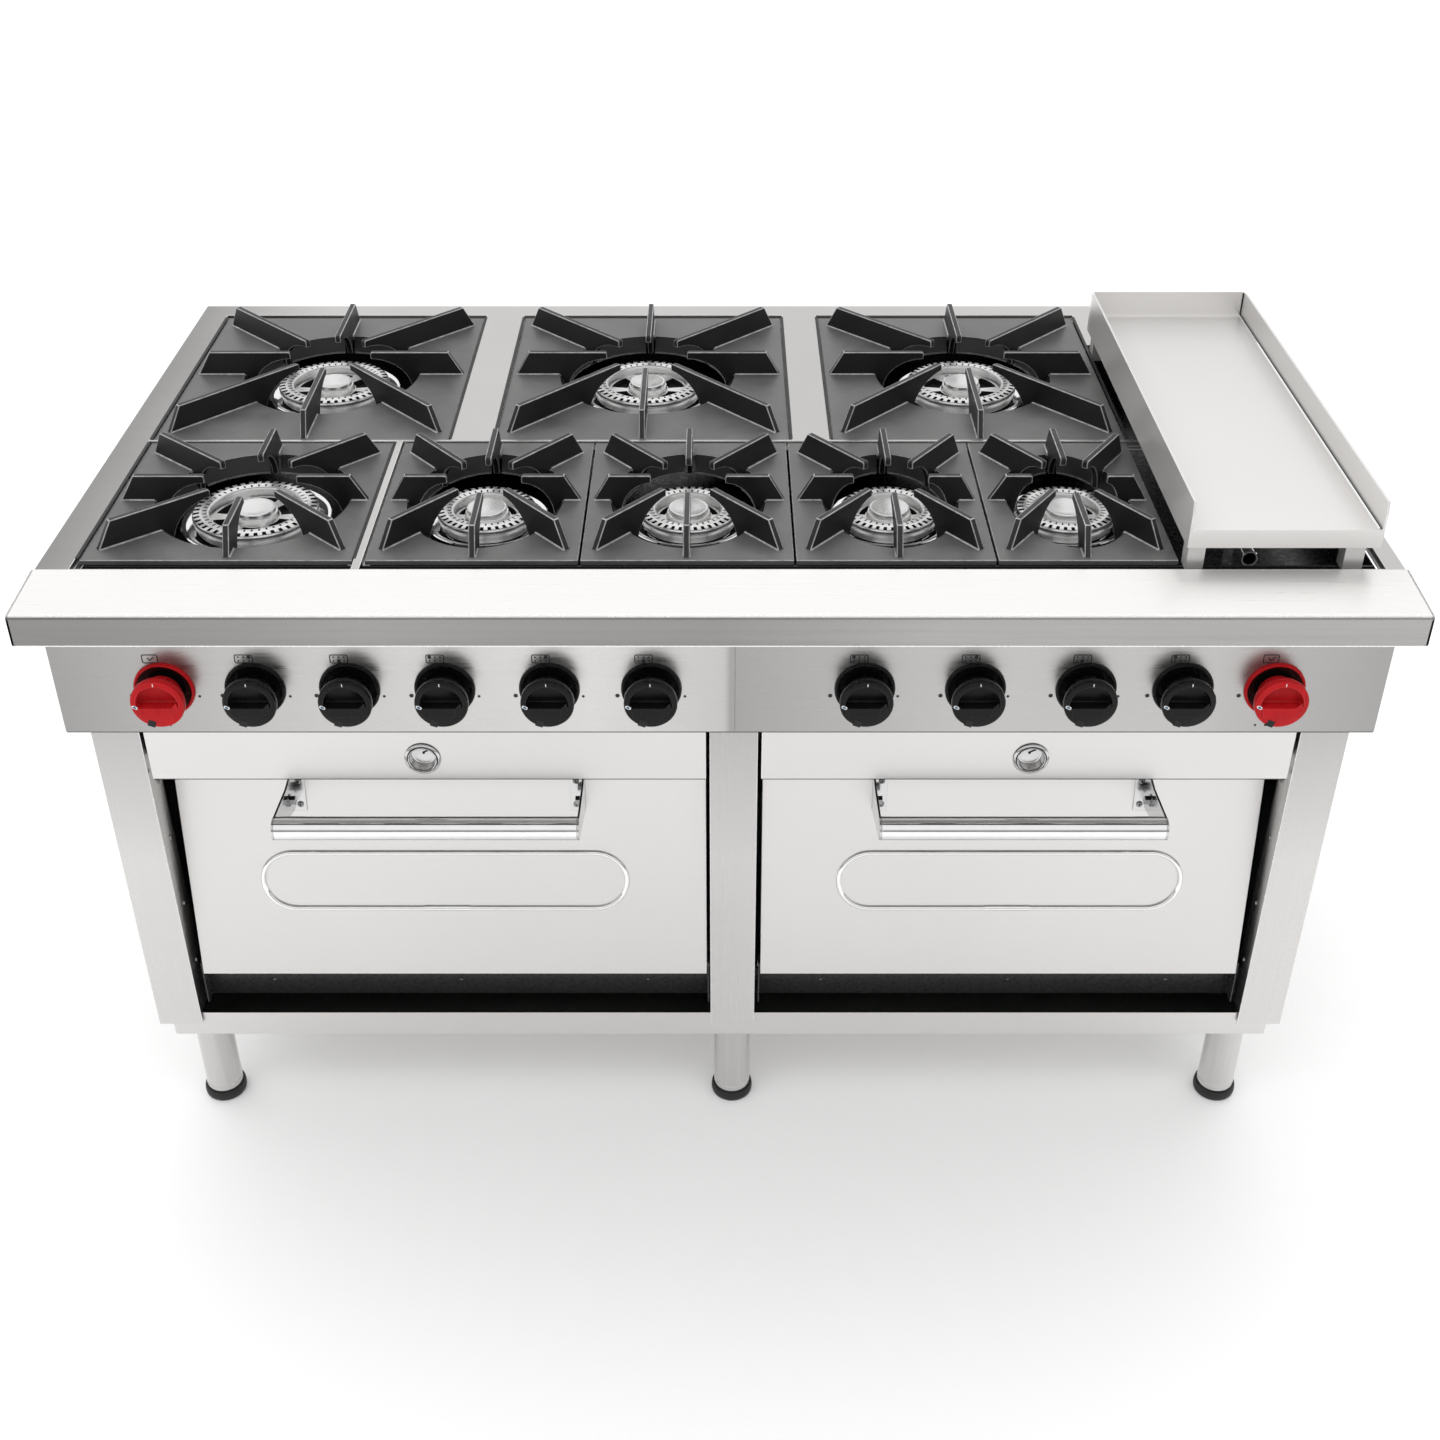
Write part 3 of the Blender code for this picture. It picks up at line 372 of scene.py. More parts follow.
def strip(bm, first, second, slot=0, closed=True):
    """Quads between two rows of vertices of the same length."""
    faces = []
    count = len(first)
    for k in range(count if closed else count - 1):
        after = (k + 1) % count
        face = bm.faces.new((first[k], first[after], second[after], second[k]))
        face.material_index = slot
        faces.append(face)
    return faces


def cap(bm, verts, slot=0):
    face = bm.faces.new(verts)
    face.material_index = slot
    return face


def lathe(bm, profile, steps, place, slot=0, closed=False):
    """Turn a (radius, height) profile about the local Z axis."""
    rows = []
    for radius, height in profile:
        count = 1 if radius < 1e-7 else steps
        turns = [2 * math.pi * k / steps for k in range(count)]
        rows.append(loop(bm, [place @ Vector((radius * math.cos(t), radius * math.sin(t), height))
                              for t in turns]))
    pairs = list(zip(rows, rows[1:]))
    if closed:
        pairs.append((rows[-1], rows[0]))
    for first, second in pairs:
        if len(first) == len(second) == steps:
            strip(bm, first, second, slot)
        elif len(first) != len(second):
            tip, rim = (first[0], second) if len(first) == 1 else (second[0], first)
            for k in range(steps):
                cap(bm, (tip, rim[k], rim[(k + 1) % steps]), slot)


def prism(bm, near_points, far_points, slot=0):
    """The closed solid between two matching outlines."""
    near = loop(bm, near_points)
    far = loop(bm, far_points)
    strip(bm, near, far, slot)
    cap(bm, near, slot)
    cap(bm, far, slot)


def slab(bm, outline, depth, place, slot=0):
    """A plate: a closed (u, v) outline given a thickness along the local Z axis."""
    near, far = ([place @ Vector((u, v, level)) for u, v in outline] for level in (0, depth))
    prism(bm, near, far, slot)


def block(bm, low, high, slot=0, place=None):
    """A box between two corners."""
    (x0, y0, z0), (x1, y1, z1) = low, high
    outline = [(x0, y0), (x1, y0), (x1, y1), (x0, y1)]
    slab(bm, outline, z1 - z0, (place or Matrix()) @ Matrix.Translation((0, 0, z0)), slot)


def arc(centre, radius, start, end, count):
    """Points on an arc, angles in degrees."""
    turns = [math.radians(start + (end - start) * k / count) for k in range(count + 1)]
    return [(centre[0] + radius * math.cos(t), centre[1] + radius * math.sin(t)) for t in turns]


def rounded_rectangle(x_range, y_range, radius):
    (x0, x1), (y0, y1) = x_range, y_range
    points = []
    for cx, cy, start in ((x1 - radius, y0 + radius, -90), (x1 - radius, y1 - radius, 0),
                          (x0 + radius, y1 - radius, 90), (x0 + radius, y0 + radius, 180)):
        points += arc((cx, cy), radius, start, start + 90, 4)
    return points


def sweep(bm, path, section, closed=True):
    """Carry a closed (out, up) section along a path of (point, out, up) frames."""
    rows = [loop(bm, [point + out * a + up * b for a, b in section]) for point, out, up in path]
    for first, second in zip(rows, rows[1:] + (rows[:1] if closed else [])):
        strip(bm, first, second)
    if not closed:
        cap(bm, rows[0])
        cap(bm, rows[-1])


def facing_front(x, y, z):
    """Local Z points to the cook and local Y points up."""
    return Matrix.Translation((x, y, z)) @ Matrix.Rotation(math.pi / 2, 4, "X")


def place_upright(origin, along):
    """Local X runs along a level direction, local Y points up, local Z is across."""
    x_axis = Vector(along).normalized()
    across = x_axis.cross(Vector((0, 0, 1)))
    matrix = Matrix((x_axis, (0, 0, 1), across)).transposed().to_4x4()
    return Matrix.Translation(origin) @ matrix


def screw(bm, place, radius, height):
    """A pan-head screw with a raised black cross on it, painted shade standing in for a recessed cross; its head
    points along local Z.
    """
    dome = [(radius, 0), (radius, height * 0.4), (radius * 0.8, height * 0.85),
            (radius * 0.35, height), (0, height)]
    lathe(bm, dome, 16, place)
    long, wide = radius * 0.55, radius * 0.13
    for a, b in ((long, wide), (wide, long)):
        block(bm, (-a, -b, height * 0.6), (a, b, height * 1.06), 1, place)


def bolt(bm, place, across, height):
    """A hexagon bolt head on a washer."""
    lathe(bm, [(across * 0.75, 0), (across * 0.75, 0.001), (0, 0.001)], 24, place)
    outline = [(across / math.sqrt(3) * math.cos(math.radians(a)),
                across / math.sqrt(3) * math.sin(math.radians(a))) for a in range(0, 360, 60)]
    slab(bm, outline, height, place @ Matrix.Translation((0, 0, 0.001)))


# ---------------------------------------------------------------- CAD nodes that stay

def dress(node, material, bevel, edge=None, join_faces=True):
    """Give a CAD node its material and break its sharp edges; where an edge material is given, the bevels take it,
    and the bright edge steel there is a painted highlight.
    """
    piece = frame["nodes"][node]
    piece.data.materials.clear()
    piece.data.materials.append(material)
    piece.data.materials.append(edge or material)
    weld = piece.modifiers.new("weld", "WELD")
    weld.merge_threshold = 0.00001
    if join_faces:
        flat = piece.modifiers.new("whole_faces", "DECIMATE")
        flat.decimate_type = "DISSOLVE"
        flat.angle_limit = math.radians(0.4)
    add_bevel(piece, bevel, 1)


def dress_frame():
    # The bright edge steel on these sheets' bevels is a painted highlight.
    for name in ("post_left", "post_middle", "post_right"):
        dress(name, SHEET_Z, 0.0008, STEEL_PAINTED_HIGHLIGHT)
    for side in SIDES:
        dress(f"side_panel_{side}", SIDE, 0.0006, STEEL_PAINTED_HIGHLIGHT)
        dress(f"fascia_{side}", SHEET_X, 0.0007, STEEL_PAINTED_HIGHLIGHT)
        dress(f"oven_door_{side}", DOOR, 0.0008, STEEL_PAINTED_HIGHLIGHT)
        dress(f"oven_box_{side}", ZINC, 0.0004)
    dress("back_panel", ZINC, 0.0004)
    dress("kick_panel", KICK_ENAMEL, 0.0004)
    dress("worktop_frame", DECK, 0.0006, STEEL_PAINTED_HIGHLIGHT, join_faces=False)
    dress("burner_tray", BLACK_ENAMEL, 0.0005)
    dress("griddle_plate", GRIDDLE, 0.0013, STEEL_PAINTED_HIGHLIGHT)
    dress("control_panel", PANEL, 0.0007, STEEL_PAINTED_HIGHLIGHT)
    dress("gas_manifold", BRASS, 0.0003)


# ---------------------------------------------------------------- base, legs and feet

FOOT_NODES = sorted(name for name in frame["nodes"] if name.startswith("foot_"))


def make_base():
    """Base pan, leg tubes and the shoes that the feet's threads carry."""
    low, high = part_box("base_frame")
    sheet = 0.002
    pan_z = (0.140, 0.180)
    bm = bmesh.new()
    corner = 0.003
    outer = rounded_rectangle((low.x, high.x), (low.y, high.y), corner)
    inner = rounded_rectangle((low.x + sheet, high.x - sheet), (low.y + sheet, high.y - sheet),
                              corner - sheet)
    rows = [loop(bm, [(x, y, z) for x, y in outline]) for outline, z in (
        (outer, pan_z[0]), (outer, pan_z[1]), (inner, pan_z[1]), (inner, pan_z[0] + sheet))]
    for first, second in zip(rows, rows[1:]):
        strip(bm, first, second)
    cap(bm, rows[0])
    cap(bm, rows[-1])
    new_piece("base_pan", bm, [SHEET_X], ROOT, ["base_frame"], bevel=0.0006)

    radius, wall = 0.0255, 0.002
    leg_low, leg_high = low.z, pan_z[0] + sheet / 2
    profile = [(radius - wall, leg_low), (radius - 0.0006, leg_low), (radius, leg_low + 0.0006),
               (radius, leg_low + 0.0085), (radius - 0.0004, leg_low + 0.009),
               (radius - 0.0004, leg_high - 0.004), (radius + 0.0035, leg_high - 0.004),
               (radius + 0.0035, leg_high), (radius - wall, leg_high)]
    bm = bmesh.new()
    for node in FOOT_NODES:
        middle = centre_of(node)
        lathe(bm, profile, 56, Matrix.Translation((middle.x, middle.y, 0)), closed=True)
    new_piece("leg_tubes", bm, [TUBE], ROOT)
    for node in FOOT_NODES:
        box_low, box_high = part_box(node)
        middle = centre_of(node)
        outer = (box_high.x - box_low.x) / 2
        shoulder = leg_low - 0.0003
        bm = bmesh.new()
        lathe(bm, [(0, 0), (outer - 0.004, 0), (outer - 0.002, 0.0008), (outer - 0.0006, 0.003),
                   (outer, 0.006), (outer, shoulder - 0.006), (outer - 0.0012, shoulder - 0.0045),
                   (outer - 0.0012, shoulder - 0.0035), (outer - 0.0004, shoulder - 0.0028),
                   (outer - 0.001, shoulder - 0.0008), (outer - 0.003, shoulder),
                   (radius - wall - 0.0006, shoulder), (radius - wall - 0.0006, box_high.z),
                   (0, box_high.z)], 48, Matrix.Translation((middle.x, middle.y, 0)))
        new_piece(node + "_shoe", bm, [BLACK_PLASTIC_AND_PAINTED_SHADOW], BODY_OF[node], [node], smooth=40)


# ---------------------------------------------------------------- front ledge

def make_front_ledge():
    """Folded ledge that slopes to the front, with closed ends."""
    low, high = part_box("front_ledge")
    drop, sheet, radius = 0.006, 0.0025, 0.005
    slope = math.degrees(math.atan2(drop, high.y - low.y))
    top_front = high.z - drop
    centre = (low.y + radius, top_front - radius)
    outline = [(high.y, high.z)] + arc(centre, radius, 90 + slope, 180, 6)
    outline += arc((low.y + 0.003, low.z + 0.003), 0.003, 180, 270, 4)
    lip = 0.031
    outline += [(low.y + lip, low.z), (low.y + lip, low.z + sheet)]
    outline += arc((low.y + 0.003 + sheet, low.z + 0.003 + sheet), 0.003, 270, 180, 3)
    outline += arc((centre[0] + sheet, centre[1] - sheet), radius - sheet, 180, 90 + slope, 4)
    outline += [(high.y - sheet, high.z - sheet), (high.y - sheet, low.z + 0.010), (high.y, low.z + 0.010)]
    bm = bmesh.new()
    prism(bm, *([(x, y, z) for y, z in outline] for x in (low.x, high.x)))
    for side, x in ((1, low.x), (-1, high.x)):
        end = [(high.y, high.z), *arc(centre, radius, 90 + slope, 180, 6),
               *arc((low.y + 0.003, low.z + 0.003), 0.003, 180, 270, 4), (high.y, low.z)]
        slab(bm, end, side * sheet, Matrix(((0, 0, 1, x), (1, 0, 0, 0), (0, 1, 0, 0), (0, 0, 0, 1))))
    bm.normal_update()
    bmesh.ops.recalc_face_normals(bm, faces=bm.faces)
    # Painted light and shade by face: the front face takes the dark copy (slot 1), the ends the side steel (slot
    # 3), the rounded top-front edge the bright edge steel as painted highlight (slot 2), and the top the bright
    # copy (slot 0).
    for face in bm.faces:
        middle = face.calc_center_median()
        if face.normal.y < -0.75 and middle.y < low.y + 0.004:
            face.material_index = 1
        elif abs(face.normal.x) > 0.7:
            face.material_index = 3
        elif face.normal.y < -0.15 and middle.z > top_front - radius and middle.y < low.y + radius:
            face.material_index = 2
    new_piece("ledge", bm, [LEDGE_PAINTED_LIT_TOP, LEDGE_PAINTED_SHADED_FACE, STEEL_PAINTED_HIGHLIGHT, SIDE], ROOT,
              ["front_ledge"], smooth=40)


# ---------------------------------------------------------------- pan supports

DISH_STEP = 0.012
FIN_THICK = 0.008


def burner_of(grate):
    return grate.replace("grate", "burner")


def ellipse_reach(half_axes, angle):
    """Distance from an ellipse's centre to its line, in a direction."""
    a, b = half_axes
    return a * b / math.hypot(b * math.cos(angle), a * math.sin(angle))


def plate_with_opening(bm, x_range, y_range, centre, half_axes, top, thick):
    """Flat plate with a turned-down rim outside and an elliptical opening inside."""
    steps = 96
    corners = [math.atan2(y - centre.y, x - centre.x) % (2 * math.pi) for x in x_range for y in y_range]
    turns = [2 * math.pi * k / steps for k in range(steps)]
    for corner in corners:
        nearest = min(range(steps), key=lambda k: abs(turns[k] - corner))
        turns[nearest] = corner

    def at_edge(turn, inset):
        ux, uy = math.cos(turn), math.sin(turn)
        reach = []
        for u, (low, high), c in ((ux, x_range, centre.x), (uy, y_range, centre.y)):
            if abs(u) > 1e-9:
                edge = high - inset if u > 0 else low + inset
                reach.append((edge - c) / u)
        return Vector((centre.x + ux * min(reach), centre.y + uy * min(reach)))

    def at_opening(turn, grow):
        reach = ellipse_reach((half_axes[0] + grow, half_axes[1] + grow), turn)
        return Vector((centre.x + math.cos(turn) * reach, centre.y + math.sin(turn) * reach))

    levels = [(at_edge, 0.0, top - thick), (at_edge, 0.0, top - 0.0009), (at_edge, 0.0009, top),
              (at_opening, 0.0012, top), (at_opening, 0.0, top - 0.0012), (at_opening, 0.0, top - thick)]
    rows = []
    for place, inset, z in levels:
        rows.append(loop(bm, [(*place(turn, inset), z) for turn in turns]))
    # The rounded outer and inner edges take slot 2, the light edge enamel: wear and painted highlight.
    for k, (first, second) in enumerate(zip(rows, rows[1:] + rows[:1])):
        strip(bm, first, second, 2 if k in (1, 3) else 0)


def dish_walls(bm, centre, half_axes, top, thick, depth, notch_turns):
    """The dished wall below the opening, notched where the fins' legs pass; the wall takes the darker enamel copy
    as painted shade, its lower lip and notch ends the light edge enamel as wear and painted highlight.
    """
    profile = [(0.0006, -0.0002), (-0.0015, -0.0016), (-0.0100, depth * -0.90), (-DISH_STEP, -depth),
               (-DISH_STEP + 0.0004, -depth - 0.0030), (-0.0090, -depth - 0.0018),
               (0.0010, -thick), (0.0030, -thick + 0.001)]
    half_notch = 0.0075
    ordered = sorted(turn % (2 * math.pi) for turn in notch_turns)
    for k, start in enumerate(ordered):
        end = ordered[(k + 1) % len(ordered)] + (2 * math.pi if k == len(ordered) - 1 else 0)
        start += half_notch / ellipse_reach(half_axes, start)
        end -= half_notch / ellipse_reach(half_axes, end)
        count = max(4, round((end - start) / 0.08))
        rows = []
        for n in range(count + 1):
            turn = start + (end - start) * n / count
            row = []
            for grow, drop in profile:
                reach = ellipse_reach((half_axes[0] + grow, half_axes[1] + grow), turn)
                row.append(bm.verts.new((centre.x + reach * math.cos(turn),
                                         centre.y + reach * math.sin(turn), top + drop)))
            rows.append(row)
        for first, second in zip(rows, rows[1:]):
            for m in range(len(profile)):
                after = (m + 1) % len(profile)
                face = bm.faces.new((first[m], first[after], second[after], second[m]))
                face.material_index = 2 if m == 3 else 1
        cap(bm, rows[0], 2)
        cap(bm, rows[-1], 2)


def fin(bm, centre, end, half_axes, tip, top, plate_top):
    """An upright fin from near the burner to the plate's edge, arched down to the dish wall's foot."""
    direction = Vector((end[0] - centre.x, end[1] - centre.y, 0))
    reach = direction.length
    turn = math.atan2(direction.y, direction.x)
    rim = ellipse_reach(half_axes, turn)
    leg = ellipse_reach((half_axes[0] - DISH_STEP, half_axes[1] - DISH_STEP), turn) + 0.0005
    seat, foot, nose = plate_top - 0.001, plate_top - 0.0225, 0.010
    outline = arc((tip + 0.003, top - 0.003), 0.003, 180, 90, 4)
    outline += [(reach - 0.020, top), (reach, seat), (rim + 0.001, seat), (leg + 0.0045, foot)]
    steps = 9
    for k in range(steps + 1):
        turn = math.pi / 2 * (1 - k / steps)
        outline.append((tip + (leg - tip) * math.sin(turn), foot + (top - nose - foot) * math.cos(turn)))
    place = place_upright((centre.x, centre.y, 0), direction)
    # The fin's faces take slot 1, the darker enamel copy, as painted shade; its bevels take the light edge enamel.
    slab(bm, outline, FIN_THICK, place @ Matrix.Translation((0, 0, -FIN_THICK / 2)), slot=1)


def base_bead(bm, centre, end, half_axes, top):
    """Thin bead along both sides of a fin's foot, where it is joined to the plate."""
    direction = Vector((end[0] - centre.x, end[1] - centre.y, 0))
    rim = ellipse_reach(half_axes, math.atan2(direction.y, direction.x)) + 0.002
    turned = direction.to_track_quat("X", "Z").to_matrix().to_4x4()
    matrix = Matrix.Translation((centre.x, centre.y, top)) @ turned
    across = FIN_THICK / 2
    for side in (-1, 1):
        section = ((across - 0.0004, -0.0004), (across + 0.0018, -0.0004), (across - 0.0004, 0.0018))
        prism(bm, *([matrix @ Vector((along, side * y, z)) for y, z in section]
                    for along in (rim, direction.length - 0.001)))


def make_grate(node):
    """Pan support: plate with its dished opening, eight fins and their weld beads."""
    low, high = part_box(node)
    centre = centre_of(burner_of(node))
    x_range, y_range = (low.x, high.x), (low.y, high.y)
    top = high.z - 0.033
    wide = x_range[1] - x_range[0] > 0.3
    half_width = min(0.124, centre.x - low.x - 0.029, high.x - centre.x - 0.029)
    half_axes = (half_width, 0.140 if centre.y > 0 else 0.128)
    plate = bmesh.new()
    thick = 0.006
    plate_with_opening(plate, x_range, y_range, centre, half_axes, top, thick)
    edge, corner_x, corner_y = 0.006, 0.014, 0.026
    ends = []
    for sx in (-1, 0, 1):
        for sy in (-1, 0, 1):
            if sx == sy == 0:
                continue
            inset_x, inset_y = (corner_x, corner_y) if sx and sy else (edge, edge)
            x = centre.x if sx == 0 else x_range[(sx + 1) // 2] - sx * inset_x
            y = centre.y if sy == 0 else y_range[(sy + 1) // 2] - sy * inset_y
            ends.append((x, y))
    turns = [math.atan2(y - centre.y, x - centre.x) for x, y in ends]
    dish_walls(plate, centre, half_axes, top, thick, 0.019, turns)
    body = BODY_OF[node]
    new_piece(node + "_plate", plate, [IRON, IRON_PAINTED_SHADE, IRON_WEAR_AND_HIGHLIGHT], body, [node],
              smooth=38)
    fins = bmesh.new()
    for end in ends:
        fin(fins, centre, end, half_axes, 0.057 if wide else 0.046, high.z, top)
    new_piece(node + "_fins", fins, [IRON, IRON_PAINTED_SHADE, IRON_WEAR_AND_HIGHLIGHT], body,
              bevel=0.0011, edge=2)
    beads = bmesh.new()
    for end in ends:
        base_bead(beads, centre, end, half_axes, top)
    new_piece(node + "_beads", beads, [IRON_WEAR_AND_HIGHLIGHT], body)


# ---------------------------------------------------------------- burners

def slotted_ring(bm, place, ring, count):
    """Burner ring with a row of wide ports outside and a row of small ones inside."""
    parts = (0.0, 0.13, 0.27, 0.5, 0.73, 0.87)
    steps = [(k + part) / count for k in range(count) for part in parts]
    profile = [(ring - 0.004, -0.020), (ring - 0.0015, -0.0130), (ring - 0.0003, -0.0090),
               (ring, -0.0048), (ring - 0.0005, -0.0022), (ring - 0.0020, -0.0010),
               (ring - 0.0092, -0.0003), (ring - 0.0115, 0.0), (ring - 0.0130, 0.0),
               (ring - 0.0180, -0.0002), (ring - 0.0202, -0.0006), (ring - 0.0215, -0.0022),
               (ring - 0.0225, -0.0130)]
    wide_row, small_row = 5, 8
    rows = []
    for radius, height in profile:
        rows.append(loop(bm, [place @ Vector((radius * math.cos(2 * math.pi * s),
                                              radius * math.sin(2 * math.pi * s), height))
                              for s in steps]))
    ports = []
    for level, (first, second) in enumerate(zip(rows, rows[1:])):
        for k, face in enumerate(strip(bm, first, second)):
            part = k % len(parts)
            if level == wide_row and part in (2, 3) or level == small_row and part in (5, 0):
                ports.append(face)
    sink(bm, ports, 0.0035)


def sink(bm, faces, depth):
    """Push faces down into pockets with upright walls, all in slot 1: black as painted shade."""
    for face in faces:
        face.material_index = 1
    sunk = bmesh.ops.extrude_face_region(bm, geom=faces)["geom"]
    bmesh.ops.delete(bm, geom=faces, context="FACES_ONLY")
    verts = [item for item in sunk if isinstance(item, bmesh.types.BMVert)]
    bmesh.ops.translate(bm, verts=verts, vec=(0, 0, -depth))
    for vert in verts:
        for face in vert.link_faces:
            face.material_index = 1


def spoked_floor(bm, place, inner, outer, level):
    """Floor between the ring and the middle, with six kidney-shaped openings."""
    steps, spokes = 72, 6
    radii = (inner, inner + 0.0015, outer - 0.0020, outer)
    rows = [loop(bm, [place @ Vector((r * math.cos(2 * math.pi * k / steps),
                                      r * math.sin(2 * math.pi * k / steps), level))
                      for k in range(steps)]) for r in radii]
    openings = []
    for level_index, (first, second) in enumerate(zip(rows, rows[1:])):
        for k, face in enumerate(strip(bm, first, second)):
            if level_index == 1 and 2 <= k % (steps // spokes) <= 9:
                openings.append(face)
    sink(bm, openings, 0.008)


def make_burner(node):
    """Burner casting: ported ring, spoked floor, hub, and the polished bowl under it."""
    low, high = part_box(node)
    centre = centre_of(node)
    ring = (high.x - low.x) / 2 - 0.013
    top = high.z - 0.001
    place = Matrix.Translation((centre.x, centre.y, top))
    bm = bmesh.new()
    slotted_ring(bm, place, ring, 44 if ring > 0.07 else 38)
    hub = 0.0285
    spoked_floor(bm, place, hub, ring - 0.0225, -0.0130)
    lathe(bm, [(hub, -0.0130), (0.0272, -0.0065), (0.0266, -0.0052), (0.0250, -0.0048), (0.0246, -0.0018),
               (0.0250, -0.0002), (0.0245, 0.0007), (0.0230, 0.0010), (0.0214, 0.0004), (0.0100, 0.0002),
               (0, 0.0002)], 64, place)
    # The ring's underside takes slot 1, black as painted shade.
    lathe(bm, [(ring - 0.0225, -0.0130), (ring - 0.0235, -0.0240), (ring - 0.006, -0.0240),
               (ring - 0.004, -0.0200)], 96, place, 1)
    floor = low.z - top
    bowl = [(ring - 0.004, -0.0230), (ring + 0.002, -0.0215), (ring + 0.0085, -0.0150),
            (ring + 0.0140, -0.0138), (ring + 0.0155, -0.0148), (ring + 0.0125, -0.0200),
            (ring - 0.004, floor + 0.010), (0.040, floor), (0, floor)]
    lathe(bm, bowl, 96, place, 2)
    new_piece(node + "_casting", bm, [ALLOY, BLACK_PAINTED_SHADE, POLISHED], BODY_OF[node], [node],
              smooth=42)


def make_deck_painted_shadow_lines():
    """Painted shadow: a dark strip on the deck along the sides of the plates that border it, standing in for the
    shade in the gap.
    """
    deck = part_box("worktop_frame")[1].z
    bm = bmesh.new()
    for node in ("grate_back_left", "grate_back_middle", "grate_back_right", "grate_front_1"):
        low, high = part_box(node)
        for inner, outer in ((low.x - 0.0006, low.x - 0.0046), (high.x + 0.0006, high.x + 0.0046)):
            x0, x1 = sorted((inner, outer))
            block(bm, (x0, low.y + 0.001, deck - 0.0003), (x1, high.y - 0.001, deck + 0.0003))
    new_piece("deck_painted_shadow_lines", bm, [BLACK_PLASTIC_AND_PAINTED_SHADOW], ROOT)


# ---------------------------------------------------------------- griddle

def make_griddle_details():
    """Painted shadow: a dark strip along the right wall's foot and up its back corner, standing in for the shade
    in those joints; and bright weld beads along both side walls.
    """
    low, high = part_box("griddle_plate")
    wall, surface = 0.003, 0.929
    bm = bmesh.new()
    seam = 0.0022
    x1 = high.x - wall
    block(bm, (x1 - seam, low.y + wall, surface - 0.0004), (x1 - 0.0001, high.y - wall, surface + 0.0006))
    block(bm, (x1 - 0.0016, high.y - wall - 0.0016, surface),
          (x1 - 0.0001, high.y - wall - 0.0001, high.z - 0.002))
    new_piece("griddle_painted_shadow_seam", bm, [BLACK_PAINTED_SHADE], "griddle")
    bm = bmesh.new()
    weld = 0.0016
    x0 = low.x + wall
    for corner, across in (((x0, 0), 1), ((x1 - seam, 0), -1)):
        section = [(corner[0], surface), (corner[0] + across * weld, surface), (corner[0], surface + weld)]
        prism(bm, *([(x, y, z) for x, z in section] for y in (low.y + wall, high.y - wall)))
    new_piece("griddle_weld_beads", bm, [POLISHED], "griddle")


def make_griddle_burner():
    """Tube burner with two rows of ports, on two feet."""
    low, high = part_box("griddle_burner")
    middle = centre_of("griddle_burner")
    radius = (high.x - low.x) / 2
    z = high.z - radius
    length = high.y - low.y
    place = facing_front(middle.x, high.y, z)
    bm = bmesh.new()
    bore = radius - 0.003
    profile = [(0, 0), (radius - 0.001, 0), (radius, 0.001), (radius, length - 0.001),
               (radius - 0.001, length)]
    lathe(bm, profile, 40, place)
    lathe(bm, [(radius - 0.001, length), (bore + 0.0008, length), (bore, length - 0.0008)], 40, place, 2)
    # The bore and the rows of port discs take slot 1, black as painted shade.
    lathe(bm, [(bore, length - 0.0008), (bore, length - 0.040), (0, length - 0.040)], 40, place, 1)
    count = 34
    for k in range(count):
        y = low.y + 0.06 + k * (length - 0.10) / (count - 1)
        for side in (-1, 1):
            turn = Matrix.Rotation(side * math.radians(38), 4, "Y")
            spot = Matrix.Translation((middle.x, y, z)) @ turn @ Matrix.Translation((0, 0, radius - 0.0004))
            lathe(bm, [(0.0012, 0), (0.0012, 0.0005), (0, 0.0005)], 8, spot, 1)
    for y in (low.y + 0.09, high.y - 0.06):
        block(bm, (middle.x - 0.006, y - 0.006, low.z), (middle.x + 0.006, y + 0.006, z - radius * 0.6))
    new_piece("griddle_tube_burner", bm, [POLISHED, BLACK_PAINTED_SHADE, WHITE_MARK], BODY_OF["griddle_burner"],
              ["griddle_burner"], smooth=40)


# ---------------------------------------------------------------- knobs, bezels and print

KNOB_NODES = sorted(name for name in frame["nodes"] if name.startswith("knob_"))


def knob_looks(node):
    """Plastic, its lighter copy for the edges as a painted highlight, and the slot: red for the two ovens, black
    for the rest.
    """
    if "oven" in node:
        return RED_KNOB, RED_KNOB_PAINTED_HIGHLIGHT, "red_plastic"
    return BLACK_KNOB, BLACK_KNOB_PAINTED_HIGHLIGHT, "black_plastic"


def half_moon(count, radius, middle, chord):
    """Circle cut by a level chord, as points seen evenly round from (0, middle)."""
    side = math.sqrt(radius * radius - chord * chord)
    corner = math.atan2(chord - middle, side)
    turns = [2 * math.pi * k / count for k in range(count)]
    for wanted in (corner % (2 * math.pi), math.pi - corner):
        nearest = min(range(count), key=lambda k: abs(turns[k] - wanted))
        turns[nearest] = wanted
    points = []
    for turn in turns:
        ux, uy = math.cos(turn), math.sin(turn)
        to_chord = (chord - middle) / uy if uy < -1e-9 else 1.0
        along = middle * uy
        to_arc = -along + math.sqrt(along * along + radius * radius - middle * middle)
        reach = min(to_chord, to_arc)
        points.append((ux * reach, middle + uy * reach))
    return turns, points


